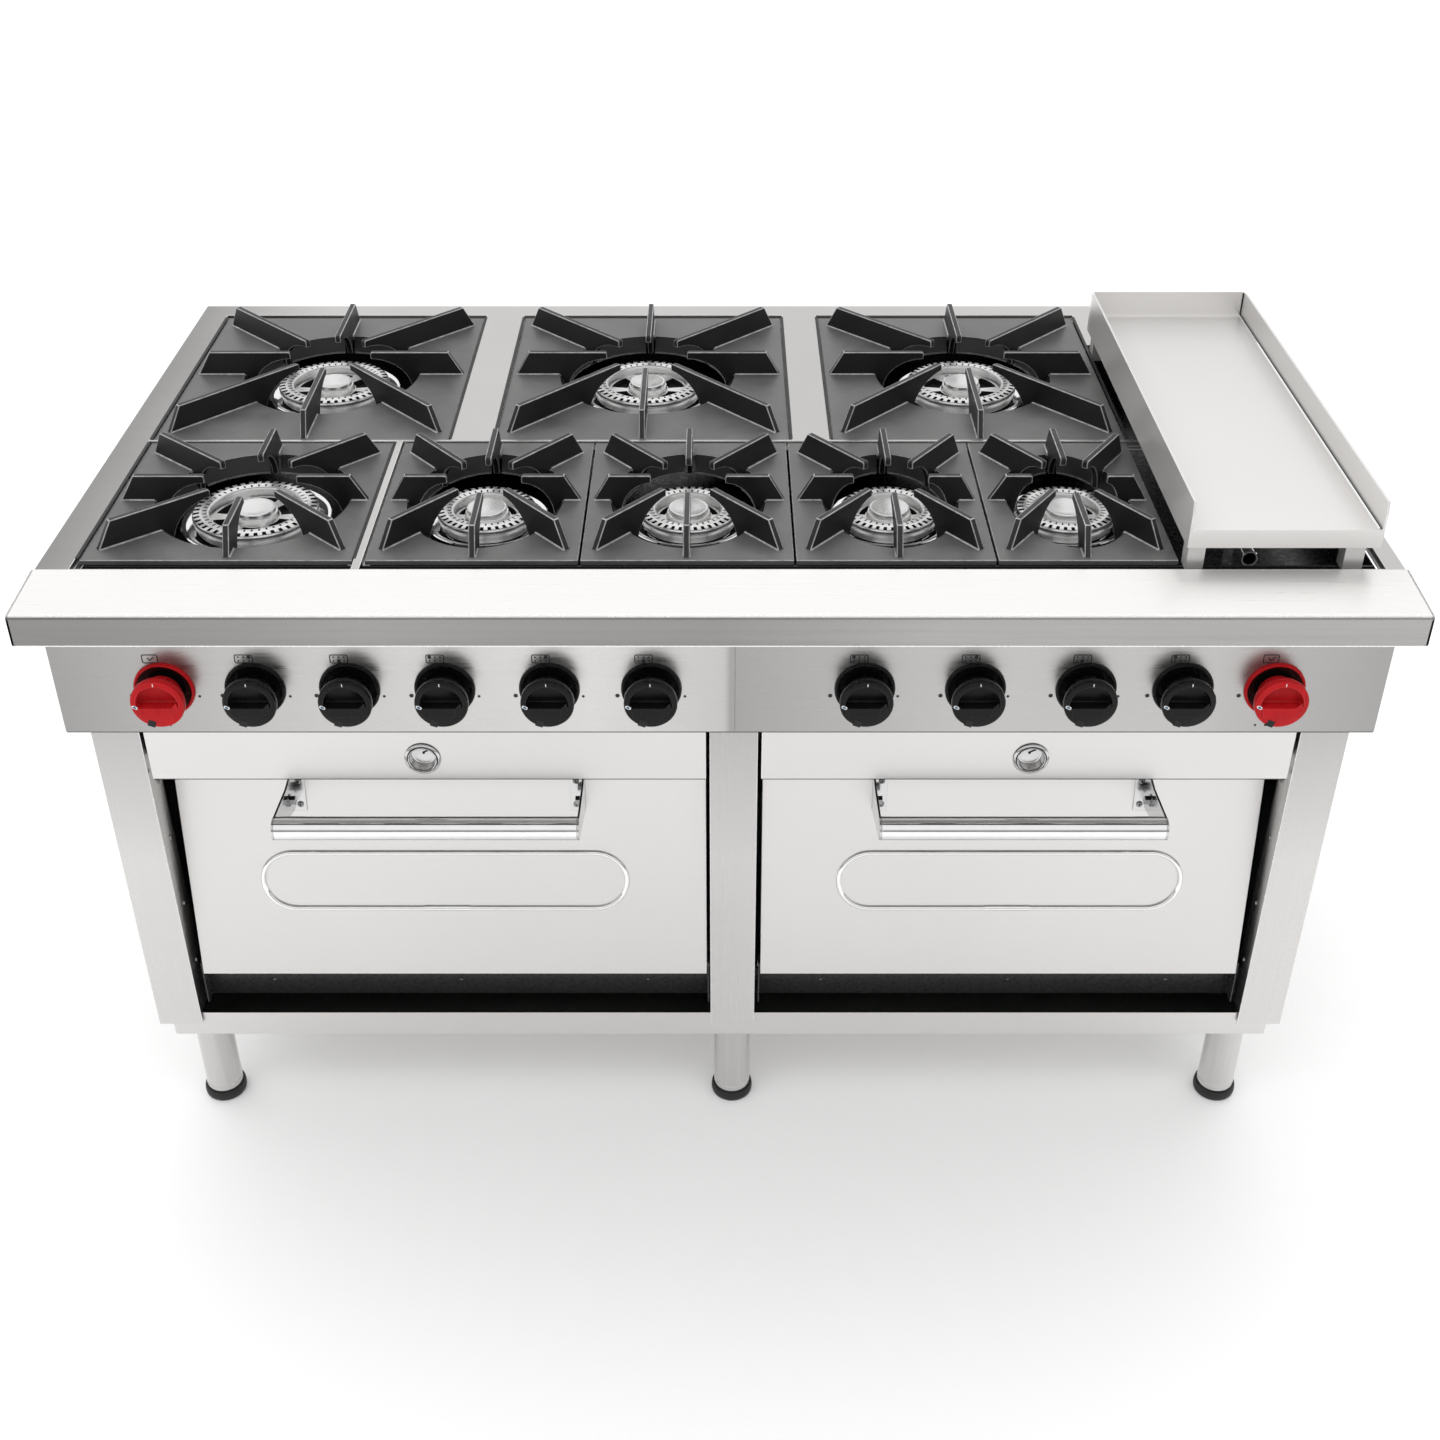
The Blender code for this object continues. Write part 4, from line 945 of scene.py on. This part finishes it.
def make_knob(node):
    """Knob cap with a half-moon finger recess and a grip bar; beside it a white pointer line, a white oval with a
    blue centre that is a painted highlight, and a black block in the rim's notch that is painted shade.
    """
    low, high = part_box(node)
    middle = centre_of(node)
    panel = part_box("control_panel")[0].y
    radius = (high.x - low.x) / 2
    depth = panel - low.y
    place = facing_front(middle.x, panel, middle.z)
    count = 72
    face_radius = radius - 0.0026
    bm = bmesh.new()
    face = depth - 0.0016
    skirt = [(0, 0.0062), (0.0215, 0.0062), (0.0224, 0.0085), (0.0232, 0.0140),
             (radius - 0.0030, depth - 0.0190), (radius - 0.0008, depth - 0.0135),
             (radius, depth - 0.0110), (radius, face - 0.0024),
             (radius - 0.0008, face - 0.0009)]
    lathe(bm, skirt, count, place)
    skirt_end = list(bm.verts)[-count:]
    moon_radius, moon_middle, moon_chord = 0.0242, 0.0088, -0.0035
    turns, moon = half_moon(count, moon_radius, moon_middle, moon_chord)
    rim = []
    for turn in turns:
        along = moon_middle * math.sin(turn)
        reach = -along + math.sqrt(along * along + face_radius * face_radius - moon_middle * moon_middle)
        rim.append((math.cos(turn) * reach, moon_middle + math.sin(turn) * reach))

    def scaled(points, share):
        return [(x * share, moon_middle + (y - moon_middle) * share) for x, y in points]

    rows = []
    for outline, z in ((rim, face), (scaled(moon, 1.03), face), (moon, face - 0.0008),
                       (scaled(moon, 0.97), face - 0.0120), (scaled(moon, 0.90), face - 0.0130)):
        rows.append(loop(bm, [place @ Vector((x, y, z)) for x, y in outline]))
    for first, second in zip(rows, rows[1:]):
        strip(bm, first, second)
    cap(bm, rows[-1])
    bmesh.ops.bridge_loops(bm, edges=ring_edges(skirt_end) + ring_edges(rows[0]))
    lathe(bm, [(0.004, 0.0070), (0.004, panel - high.y), (0, panel - high.y)], 24, place)
    grip = [(-0.0225, -0.0038), (0.0165, -0.0038), (0.0150, -0.0155), (-0.0200, -0.0155)]
    slab(bm, grip, 0.0022, place @ Matrix.Translation((0, 0, face - 0.0006)))
    wedge = [(0.0165, -0.0038), (0.0225, 0.0030), (0.0240, -0.0060), (0.0150, -0.0150)]
    slab(bm, wedge, 0.0015, place @ Matrix.Translation((0, 0, face - 0.0005)))
    plastic, edge, slot = knob_looks(node)
    # The bevels take slot 1, the lighter plastic copy, as a painted highlight.
    new_piece(node + "_cap", bm, [plastic, edge], BODY_OF[node], [node], smooth=35,
              bevel=0.0004, edge=1)
    bm = bmesh.new()
    # Painted highlight: a white oval with a blue centre on the face's lower left, standing in for a reflection.
    painted_glint = place @ Matrix.Translation((-0.0258, -0.0030, face - 0.0002)) @ Matrix.Rotation(-0.5, 4, "Z")
    slab(bm, rounded_rectangle((-0.0036, 0.0036), (-0.0019, 0.0019), 0.0018), 0.0004, painted_glint)
    slab(bm, rounded_rectangle((-0.0020, 0.0020), (-0.0011, 0.0011), 0.0009), 0.0006, painted_glint, 2)
    # Painted shade: a black block over the rim's notch.
    notch = place @ Matrix.Rotation(math.radians(-20), 4, "Z")
    block(bm, (-0.0050, -radius - 0.0001, depth - 0.0100), (0.0040, 0.0082 - radius, face + 0.0002), 1, notch)
    block(bm, (-0.0005, radius - 0.0055, face - 0.0004), (0.0005, radius - 0.0020, face + 0.0002), 0, place)
    new_piece(node + "_marks_and_painted_light", bm, [WHITE_MARK, BLACK_PAINTED_SHADE, BLUE_PAINTED_GLINT], BODY_OF[node])


def ring_edges(verts):
    """The edges that join a closed row of vertices."""
    pairs = zip(verts, verts[1:] + verts[:1])
    return [edge for first, second in pairs for edge in first.link_edges if edge.other_vert(first) is second]


def make_bezel(node):
    """Ring and glossy dish on the panel behind a knob."""
    middle = centre_of(node)
    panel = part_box("control_panel")[0].y
    place = facing_front(middle.x, panel, middle.z)
    bm = bmesh.new()
    lathe(bm, [(0.0355, 0.0), (0.0355, 0.0025), (0.0350, 0.0042), (0.0341, 0.0052), (0.0330, 0.0052),
               (0.0322, 0.0045), (0.0316, 0.0030)], 72, place)
    lathe(bm, [(0.0316, 0.0030), (0.0250, 0.0014), (0.0090, 0.0010), (0.0066, 0.0008), (0.0060, -0.0015)],
          72, place, 1)
    plastic, _, slot = knob_looks(node)
    new_piece("bezel_" + node, bm, [plastic, BEZEL_DISH], ROOT, smooth=40)


def disc(bm, x, y, radius, place, slot=0, thick=0.00025, steps=20):
    lathe(bm, [(radius, 0), (radius, thick), (0, thick)], steps, place @ Matrix.Translation((x, y, 0)), slot)


def outline_frame(bm, x_range, y_range, line, place):
    """A thin printed frame with round corners."""
    outer = rounded_rectangle(x_range, y_range, 0.0024)
    inner = rounded_rectangle((x_range[0] + line, x_range[1] - line),
                              (y_range[0] + line, y_range[1] - line), 0.0024 - line)
    thick = 0.00025
    rows = [loop(bm, [place @ Vector((x, y, z)) for x, y in points])
            for points, z in ((outer, 0), (outer, thick), (inner, thick), (inner, 0))]
    for first, second in zip(rows, rows[1:] + rows[:1]):
        strip(bm, first, second)


def make_panel_print():
    """Dots beside and below each knob, and above it a framed tick or a framed field of six dots."""
    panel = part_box("control_panel")[0].y
    bm = bmesh.new()
    ordered = sorted(KNOB_NODES, key=lambda name: centre_of(name).x)
    for index, node in enumerate(ordered):
        middle = centre_of(node)
        place = facing_front(middle.x, panel, middle.z)
        disc(bm, -0.0400, -0.010, 0.0026, place)
        disc(bm, 0.0390, -0.011, 0.0017, place)
        for x in (-0.014, -0.002, 0.010) if index == len(ordered) - 1 else (-0.002,):
            disc(bm, x, -0.0515, 0.0015, place)
        sign = (-0.0200, -0.0010) if "oven" in node else (-0.0190, 0.0025)
        level = (0.0345, 0.0465)
        outline_frame(bm, sign, level, 0.0012, place)
        x_mid, y_mid = sum(sign) / 2, sum(level) / 2
        if "oven" in node:
            for angle, reach in ((48, 0.0068), (130, 0.0046)):
                stroke = place @ Matrix.Translation((x_mid, y_mid - 0.0022, 0))
                stroke = stroke @ Matrix.Rotation(math.radians(angle), 4, "Z")
                block(bm, (0, -0.0007, 0), (reach, 0.0007, 0.00025), 0, stroke)
        else:
            spots = ((-0.0062, 0.0025), (0.0, 0.0025), (0.0062, 0.0025), (-0.0062, -0.0025),
                     (0.0, -0.0025), (0.0062, -0.0025))
            for k, (dx, dy) in enumerate(spots):
                chosen = k == (index * 2) % len(spots)
                disc(bm, x_mid + dx, y_mid + dy, 0.0023 if chosen else 0.0011, place, steps=12)
    new_piece("panel_print", bm, [INK], ROOT)


def make_panel_seam():
    """The upright line where the two halves of the control panel meet."""
    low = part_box("control_panel")[0]
    bm = bmesh.new()
    x, seam_top = 0.0175, 0.8335
    block(bm, (x - 0.0003, low.y - 0.0002, low.z + 0.001), (x + 0.0003, low.y + 0.0005, seam_top))
    new_piece("panel_seam", bm, [matt("seam_shadow", grey(0.16), 0.5)], ROOT)


def make_painted_edge_lines():
    """Painted shadow: dark strips under the control panel and both fascias; and a painted highlight: a bright line
    on the ledge's lower lip.
    """
    bm = bmesh.new()
    for node in ("control_panel", "fascia_left", "fascia_right"):
        low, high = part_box(node)
        block(bm, (low.x + 0.001, low.y + 0.0006, low.z - 0.0016),
              (high.x - 0.001, low.y + 0.0030, low.z + 0.0002))
    new_piece("painted_edge_lines", bm, [BLACK_PLASTIC_AND_PAINTED_SHADOW], ROOT)
    # Painted highlight: a bright line along the ledge's lower front edge.
    low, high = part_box("front_ledge")
    bm = bmesh.new()
    block(bm, (low.x + 0.004, low.y - 0.0002, low.z + 0.0006),
          (high.x - 0.004, low.y + 0.0006, low.z + 0.0022))
    new_piece("ledge_painted_highlight_line", bm, [STEEL_PAINTED_HIGHLIGHT], ROOT, bevel=0.0003)


# ---------------------------------------------------------------- doors, handles and trims

DOOR_LEAN = math.radians(8.2)
HALF_DOOR = 0.016
BAR_OUT = 0.116
BAR_UP = 0.277


def door_place(side):
    """A frame on the door's hinge axis that leans with the door: X right, Y into the door, Z up it."""
    joint = next(j for j in frame["joints"] if j["name"] == f"door_{side}_hinge")
    origin = Vector(joint["pos_m"])
    return Matrix.Translation((0, origin.y, origin.z)) @ Matrix.Rotation(-DOOR_LEAN, 4, "X")


def make_handle(side):
    """Tube on two bracket plates that are bolted and screwed to the door."""
    node = f"door_handle_{side}"
    low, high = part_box(node)
    place = door_place(side)
    body = BODY_OF[node]
    radius, end_plate = 0.015, 0.0028
    axis = place @ Matrix.Translation((0, -BAR_OUT, BAR_UP)) @ Matrix.Rotation(math.pi / 2, 4, "Y")
    bm = bmesh.new()
    start, end = low.x + end_plate, high.x - end_plate
    lathe(bm, [(radius - 0.0025, start), (radius - 0.0005, start), (radius, start + 0.0005),
               (radius, end - 0.0005), (radius - 0.0005, end), (radius - 0.0025, end)], 64, axis, closed=True)
    new_piece(f"handle_bar_{side}", bm, [POLISHED], body, [node], smooth=40)

    face = -HALF_DOOR - 0.0003
    arm = [(face, BAR_UP - 0.028), (face, BAR_UP + 0.026), (face - 0.030, BAR_UP + 0.018)]
    arm += arc((-BAR_OUT, BAR_UP), radius, 75, 270, 12)
    arm += [(-BAR_OUT + 0.020, BAR_UP - 0.016)]
    bm = bmesh.new()
    screws = bmesh.new()
    for x, inward in ((low.x, 1), (high.x, -1)):
        upright = place @ Matrix(((0, 0, 1, x), (1, 0, 0, 0), (0, 1, 0, 0), (0, 0, 0, 1)))
        slab(bm, arm, inward * end_plate, upright)
        flange = sorted((x, x + inward * 0.019))
        block(bm, (flange[0], face - 0.0026, BAR_UP - 0.028), (flange[1], face, BAR_UP + 0.026), 0, place)
        bolt(screws, place @ Matrix.Translation((x + inward * end_plate, face - 0.022, BAR_UP - 0.002))
             @ Matrix.Rotation(inward * math.pi / 2, 4, "Y"), 0.011, 0.007)
        for up in (-0.018, 0.016):
            spot = place @ Matrix.Translation((x + inward * 0.0115, face - 0.0026, BAR_UP + up))
            spot = spot @ Matrix.Rotation(math.pi / 2, 4, "X")
            screw(screws, spot, 0.0042, 0.0024)
    new_piece(f"handle_brackets_{side}", bm, [SATIN], body, bevel=0.0006)
    new_piece(f"handle_bolts_{side}", screws, [FASTENER, BLACK_PAINTED_SHADE], body)


def make_trim(side):
    """Polished bead in a long oval on the door, with a sleeve over its joint."""
    node = f"door_trim_{side}"
    low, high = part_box(node)
    place = door_place(side)
    up = (0.096, 0.188)
    width, proud = 0.007, 0.0035
    radius = (up[1] - up[0] - width) / 2
    middle = sum(up) / 2
    centres = (high.x - width / 2 - radius, low.x + width / 2 + radius)
    frames = []
    for cx, start in zip(centres, (-90, 90)):
        steps = 18
        for k in range(steps + 1):
            turn = math.radians(start + 180 * k / steps)
            out = Vector((math.cos(turn), 0, math.sin(turn)))
            frames.append((Vector((cx, 0, middle)) + out * radius, out, Vector((0, -1, 0))))
    base = HALF_DOOR + 0.0003
    half = width / 2
    section = [(-half, base)] + [(half * math.cos(t) * -1, base + proud * math.sin(t)) for t in
                                 [math.pi * k / 8 for k in range(1, 8)]] + [(half, base)]
    matrix = place.to_3x3()
    frames = [(place @ point, matrix @ out, matrix @ forward) for point, out, forward in frames]
    bm = bmesh.new()
    sweep(bm, frames, section)
    sleeve_x = (low.x + high.x) / 2
    sleeve = [(-half - 0.0007, base), (-half * 0.9, base + proud * 0.75), (0, base + proud + 0.0004),
              (half * 0.9, base + proud * 0.75), (half + 0.0007, base)]
    ends = []
    for x in (sleeve_x - 0.030, sleeve_x + 0.030):
        point = place @ Vector((x, 0, up[0] + half))
        ends.append((point, matrix @ Vector((0, 0, -1)), matrix @ Vector((0, -1, 0))))
    sweep(bm, ends, sleeve, closed=False)
    new_piece(f"door_bead_{side}", bm, [POLISHED], BODY_OF[node], [node], smooth=50)


def make_door_liner(side):
    """Pressed inner door panel, seen when the door is open."""
    low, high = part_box(f"oven_door_{side}")
    place = door_place(side)
    x_range = (low.x + 0.044, high.x - 0.044)
    up = (0.049, 0.285)
    back = HALF_DOOR + 0.0002
    bm = bmesh.new()
    rows = []
    for inset, depth, radius in ((0.0, 0.0, 0.016), (0.004, 0.006, 0.014), (0.030, 0.006, 0.010),
                                 (0.034, 0.0035, 0.009)):
        outline = rounded_rectangle((x_range[0] + inset, x_range[1] - inset),
                                    (up[0] + inset, up[1] - inset), radius)
        rows.append(loop(bm, [place @ Vector((x, back + depth, z)) for x, z in outline]))
    for first, second in zip(rows, rows[1:]):
        strip(bm, first, second)
    cap(bm, rows[0])
    cap(bm, rows[-1])
    new_piece(f"door_liner_{side}", bm, [OVEN_ENAMEL], BODY_OF[f"oven_door_{side}"], smooth=25)


# ---------------------------------------------------------------- ovens

def make_spyhole(side):
    """Bright spy-hole cup with its slot, in the strip above a door."""
    node = f"spyhole_cup_{side}"
    low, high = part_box(node)
    middle = centre_of(node)
    rim = (high.x - low.x) / 2
    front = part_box(f"fascia_{side}")[0].y
    place = facing_front(middle.x, front, middle.z)
    cup = 0.0180
    floor = front - high.y
    bm = bmesh.new()
    lathe(bm, [(0, floor + 0.0024), (cup - 0.0040, floor + 0.0020), (cup - 0.0026, floor + 0.0026)],
          64, place)
    lathe(bm, [(cup - 0.0026, floor + 0.0026), (cup - 0.0020, 0.0020)], 64, place, 2)
    lathe(bm, [(cup - 0.0020, 0.0020), (cup - 0.0014, 0.0036), (cup - 0.0006, 0.0040), (cup, 0.0034)],
          64, place)
    # The groove round the cup's lip is black as painted shade.
    lathe(bm, [(cup, 0.0034), (cup + 0.0002, 0.0018), (cup + 0.0009, 0.0018), (cup + 0.0011, 0.0030)],
          64, place, 1)
    lathe(bm, [(cup + 0.0011, 0.0030), (cup + 0.0018, 0.0036), (rim - 0.0008, 0.0026), (rim, 0.0016)],
          64, place)
    # The rim's outer edge and the back are black as painted shade.
    lathe(bm, [(rim, 0.0016), (rim, 0.0003), (cup, 0.0003), (cup, floor), (0, floor)], 64, place, 1)
    # The slot and the two dots beside it are black as painted shade.
    mark = place @ Matrix.Translation((0.0030, 0.0035, floor + 0.0022))
    mark = mark @ Matrix.Rotation(math.radians(28), 4, "Z")
    slab(bm, rounded_rectangle((-0.0052, 0.0052), (-0.0009, 0.0009), 0.0008), 0.0006, mark, 1)
    disc(bm, -0.0040, -0.0006, 0.0017, mark, 1, 0.0008)
    disc(bm, 0.0044, 0.0004, 0.0014, mark, 1, 0.0008)
    new_piece(f"spyhole_{side}", bm, [SATIN, BLACK_PAINTED_SHADE, TUBE], BODY_OF[node], [node], smooth=40)


def make_oven_inside(side):
    """Oven floor plate and pressed shelf runners."""
    low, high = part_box(f"oven_box_{side}")
    rim, box_floor = 0.0262, 0.262
    x0, x1 = low.x + rim, high.x - rim
    z0 = box_floor + rim
    y0, y1 = low.y + 0.060, high.y - 0.006
    bm = bmesh.new()
    block(bm, (x0 + 0.004, y0, z0 + 0.0005), (x1 - 0.004, y1, z0 + 0.0025))
    for level in (0.34, 0.39, 0.44, 0.49):
        for x, inward in ((x0, 1), (x1, -1)):
            proud = x + inward * 0.009
            section = [(x, level - 0.004), (proud, level - 0.001), (proud, level + 0.001), (x, level + 0.004)]
            prism(bm, *([(a, y, b) for a, b in section] for y in (y0 + 0.03, y1 - 0.02)))
    new_piece(f"oven_inside_{side}", bm, [OVEN_ENAMEL], ROOT, bevel=0.0006)


# ---------------------------------------------------------------- small fasteners and back

def make_screws():
    """Screw heads on the posts, the kick strip, the burner well's front, the back and the sides."""
    kick_face, well_face = -0.3295, -0.350
    bm = bmesh.new()
    for name, facing in (("post_left", 1), ("post_right", -1)):
        low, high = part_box(name)
        x = high.x if facing > 0 else low.x
        for z in (0.26, 0.36, 0.47, 0.56, 0.60):
            spot = Matrix.Translation((x, low.y + 0.026, z)) @ Matrix.Rotation(facing * math.pi / 2, 4, "Y")
            screw(bm, spot, 0.0034, 0.0018)
    for x in (-0.62, -0.36, -0.10, 0.14, 0.40, 0.62):
        screw(bm, facing_front(x, kick_face, 0.206), 0.0026, 0.0016)
    for x in (-0.66, -0.30, 0.04, 0.28, 0.58, 0.70):
        screw(bm, facing_front(x, well_face, 0.855), 0.0030, 0.0016)
    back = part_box("back_panel")[1].y
    for x in (-0.74, -0.37, 0.0, 0.37, 0.74):
        for z in (0.20, 0.50, 0.81):
            spot = Matrix.Translation((x, back, z)) @ Matrix.Rotation(-math.pi / 2, 4, "X")
            screw(bm, spot, 0.0038, 0.0020)
    for side, facing in (("left", -1), ("right", 1)):
        low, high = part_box(f"side_panel_{side}")
        x = low.x if facing < 0 else high.x
        for y in (-0.29, 0.07, 0.40):
            for z in (0.20, 0.815):
                spot = Matrix.Translation((x, y, z)) @ Matrix.Rotation(facing * math.pi / 2, 4, "Y")
                screw(bm, spot, 0.0038, 0.0020)
    new_piece("screws", bm, [FASTENER, BLACK_PAINTED_SHADE], ROOT, smooth=40)


def make_back_louvres():
    """Pressed vent hoods in the back panel, behind each oven."""
    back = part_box("back_panel")[1].y
    half_width, pitch, proud = 0.16, 0.026, 0.007
    turns = [math.pi / 2 * k / 5 for k in range(1, 6)]
    bm = bmesh.new()
    for x_mid in (-0.37, 0.37):
        for row in range(6):
            z = 0.60 + row * pitch
            x0, x1 = x_mid - half_width, x_mid + half_width
            section = [(back, z + 0.010)]
            section += [(back + proud * math.sin(t), z + 0.010 - 0.015 * (1 - math.cos(t))) for t in turns]
            section += [(back + 0.0058, z - 0.0050), (back, z + 0.0075)]
            prism(bm, *([(x, y, level) for y, level in section] for x in (x0, x1)))
            # The black strip under each hood is painted shade in its opening.
            block(bm, (x0 + 0.002, back + 0.0002, z - 0.0052), (x1 - 0.002, back + 0.0006, z + 0.004), 1)
    new_piece("back_louvres", bm, [ZINC, BLACK_PAINTED_SHADE], ROOT, smooth=40)


# ---------------------------------------------------------------- stage

# Studio brightness over the half turn from the back horizon (0) over the top to the front one (1).
STUDIO = ((0.0, 0.80), (0.30, 0.80), (0.41, 0.60), (0.48, 0.05), (0.60, 0.02), (0.63, 0.72),
          (0.84, 0.78), (0.92, 0.30), (1.0, 0.25))
WORLD_LEVEL = 1.25
SUN_LEVEL = 1.9
FLOOR_LIFT = 0.14


def make_stage():
    """White floor, a studio world that the metal reflects, and a broad top light.

    A camera ray that meets no piece sees the world at a strength of at least 1, so the background
    stays white; everything else sees the studio's ramp."""
    bm = bmesh.new()
    half = 40.0
    cap(bm, loop(bm, [(-half, -half, 0), (half, -half, 0), (half, half, 0), (-half, half, 0)]))
    mesh = bpy.data.meshes.new("floor")
    bm.to_mesh(mesh)
    bm.free()
    made, tree, shader = new_material("floor_paint")
    shader.inputs["Roughness"].default_value = 0.9
    shader.inputs["Specular IOR Level"].default_value = 0.1
    cloud = noise(tree, 0.6, 2, 0.5)
    tree.links.new(blend_colours(tree, cloud, grey(0.88), grey(0.90)), shader.inputs["Base Color"])
    shader.inputs["Emission Color"].default_value = (1.0, 1.0, 1.0, 1.0)
    shader.inputs["Emission Strength"].default_value = FLOOR_LIFT
    mesh.materials.append(made)
    floor = bpy.data.objects.new("floor", mesh)
    bpy.context.scene.collection.objects.link(floor)

    world = bpy.data.worlds.new("studio")
    world.use_nodes = True
    bpy.context.scene.world = world
    tree = world.node_tree
    background = tree.nodes["Background"]
    background.inputs["Color"].default_value = (1.0, 1.0, 1.0, 1.0)
    coords = add_node(tree, "TexCoord").outputs["Generated"]
    parts = add_node(tree, "SeparateXYZ", {"Vector": coords}).outputs
    turn = add_node(tree, "Math", {0: parts["Z"], 1: parts["Y"]}, operation="ARCTAN2").outputs[0]
    half_turns = add_node(tree, "Math", {0: turn, 1: math.pi}, operation="DIVIDE").outputs[0]
    ramp = add_node(tree, "ValToRGB", {"Fac": half_turns})
    fill_ramp(ramp, STUDIO)
    strength = add_node(tree, "Math", {0: ramp.outputs["Color"], 1: WORLD_LEVEL}, operation="MULTIPLY")
    seen = add_node(tree, "LightPath").outputs["Is Camera Ray"]
    plain = add_node(tree, "Math", {0: strength.outputs[0], 1: seen}, operation="MAXIMUM")
    tree.links.new(plain.outputs[0], background.inputs["Strength"])

    sun = bpy.data.lights.new("soft_top_light", "SUN")
    sun.energy = SUN_LEVEL
    sun.angle = math.radians(100)
    top_light = bpy.data.objects.new("soft_top_light", sun)
    top_light.rotation_euler = (math.radians(-12), math.radians(-8), 0)
    top_light.visible_glossy = False
    bpy.context.scene.collection.objects.link(top_light)


def add_camera():
    data = bpy.data.cameras.new("camera")
    data.sensor_width = 36.0
    data.lens = 44.4
    camera = bpy.data.objects.new("camera", data)
    camera.location = (0, -2.183, 1.884)
    camera.rotation_euler = (math.radians(90 - 33.85), 0, 0)
    bpy.context.scene.collection.objects.link(camera)
    bpy.context.scene.camera = camera
    bpy.context.scene.view_settings.view_transform = "Standard"


def main():
    add_camera()
    make_stage()
    dress_frame()
    make_base()
    make_front_ledge()
    for node in sorted(frame["nodes"]):
        if node.startswith("grate_"):
            make_grate(node)
            make_burner(burner_of(node))
    make_griddle_details()
    make_griddle_burner()
    for node in KNOB_NODES:
        make_bezel(node)
        make_knob(node)
    make_panel_print()
    make_panel_seam()
    make_painted_edge_lines()
    make_deck_painted_shadow_lines()
    for side in SIDES:
        make_handle(side)
        make_trim(side)
        make_door_liner(side)
        make_spyhole(side)
        make_oven_inside(side)
    make_screws()
    make_back_louvres()


main()
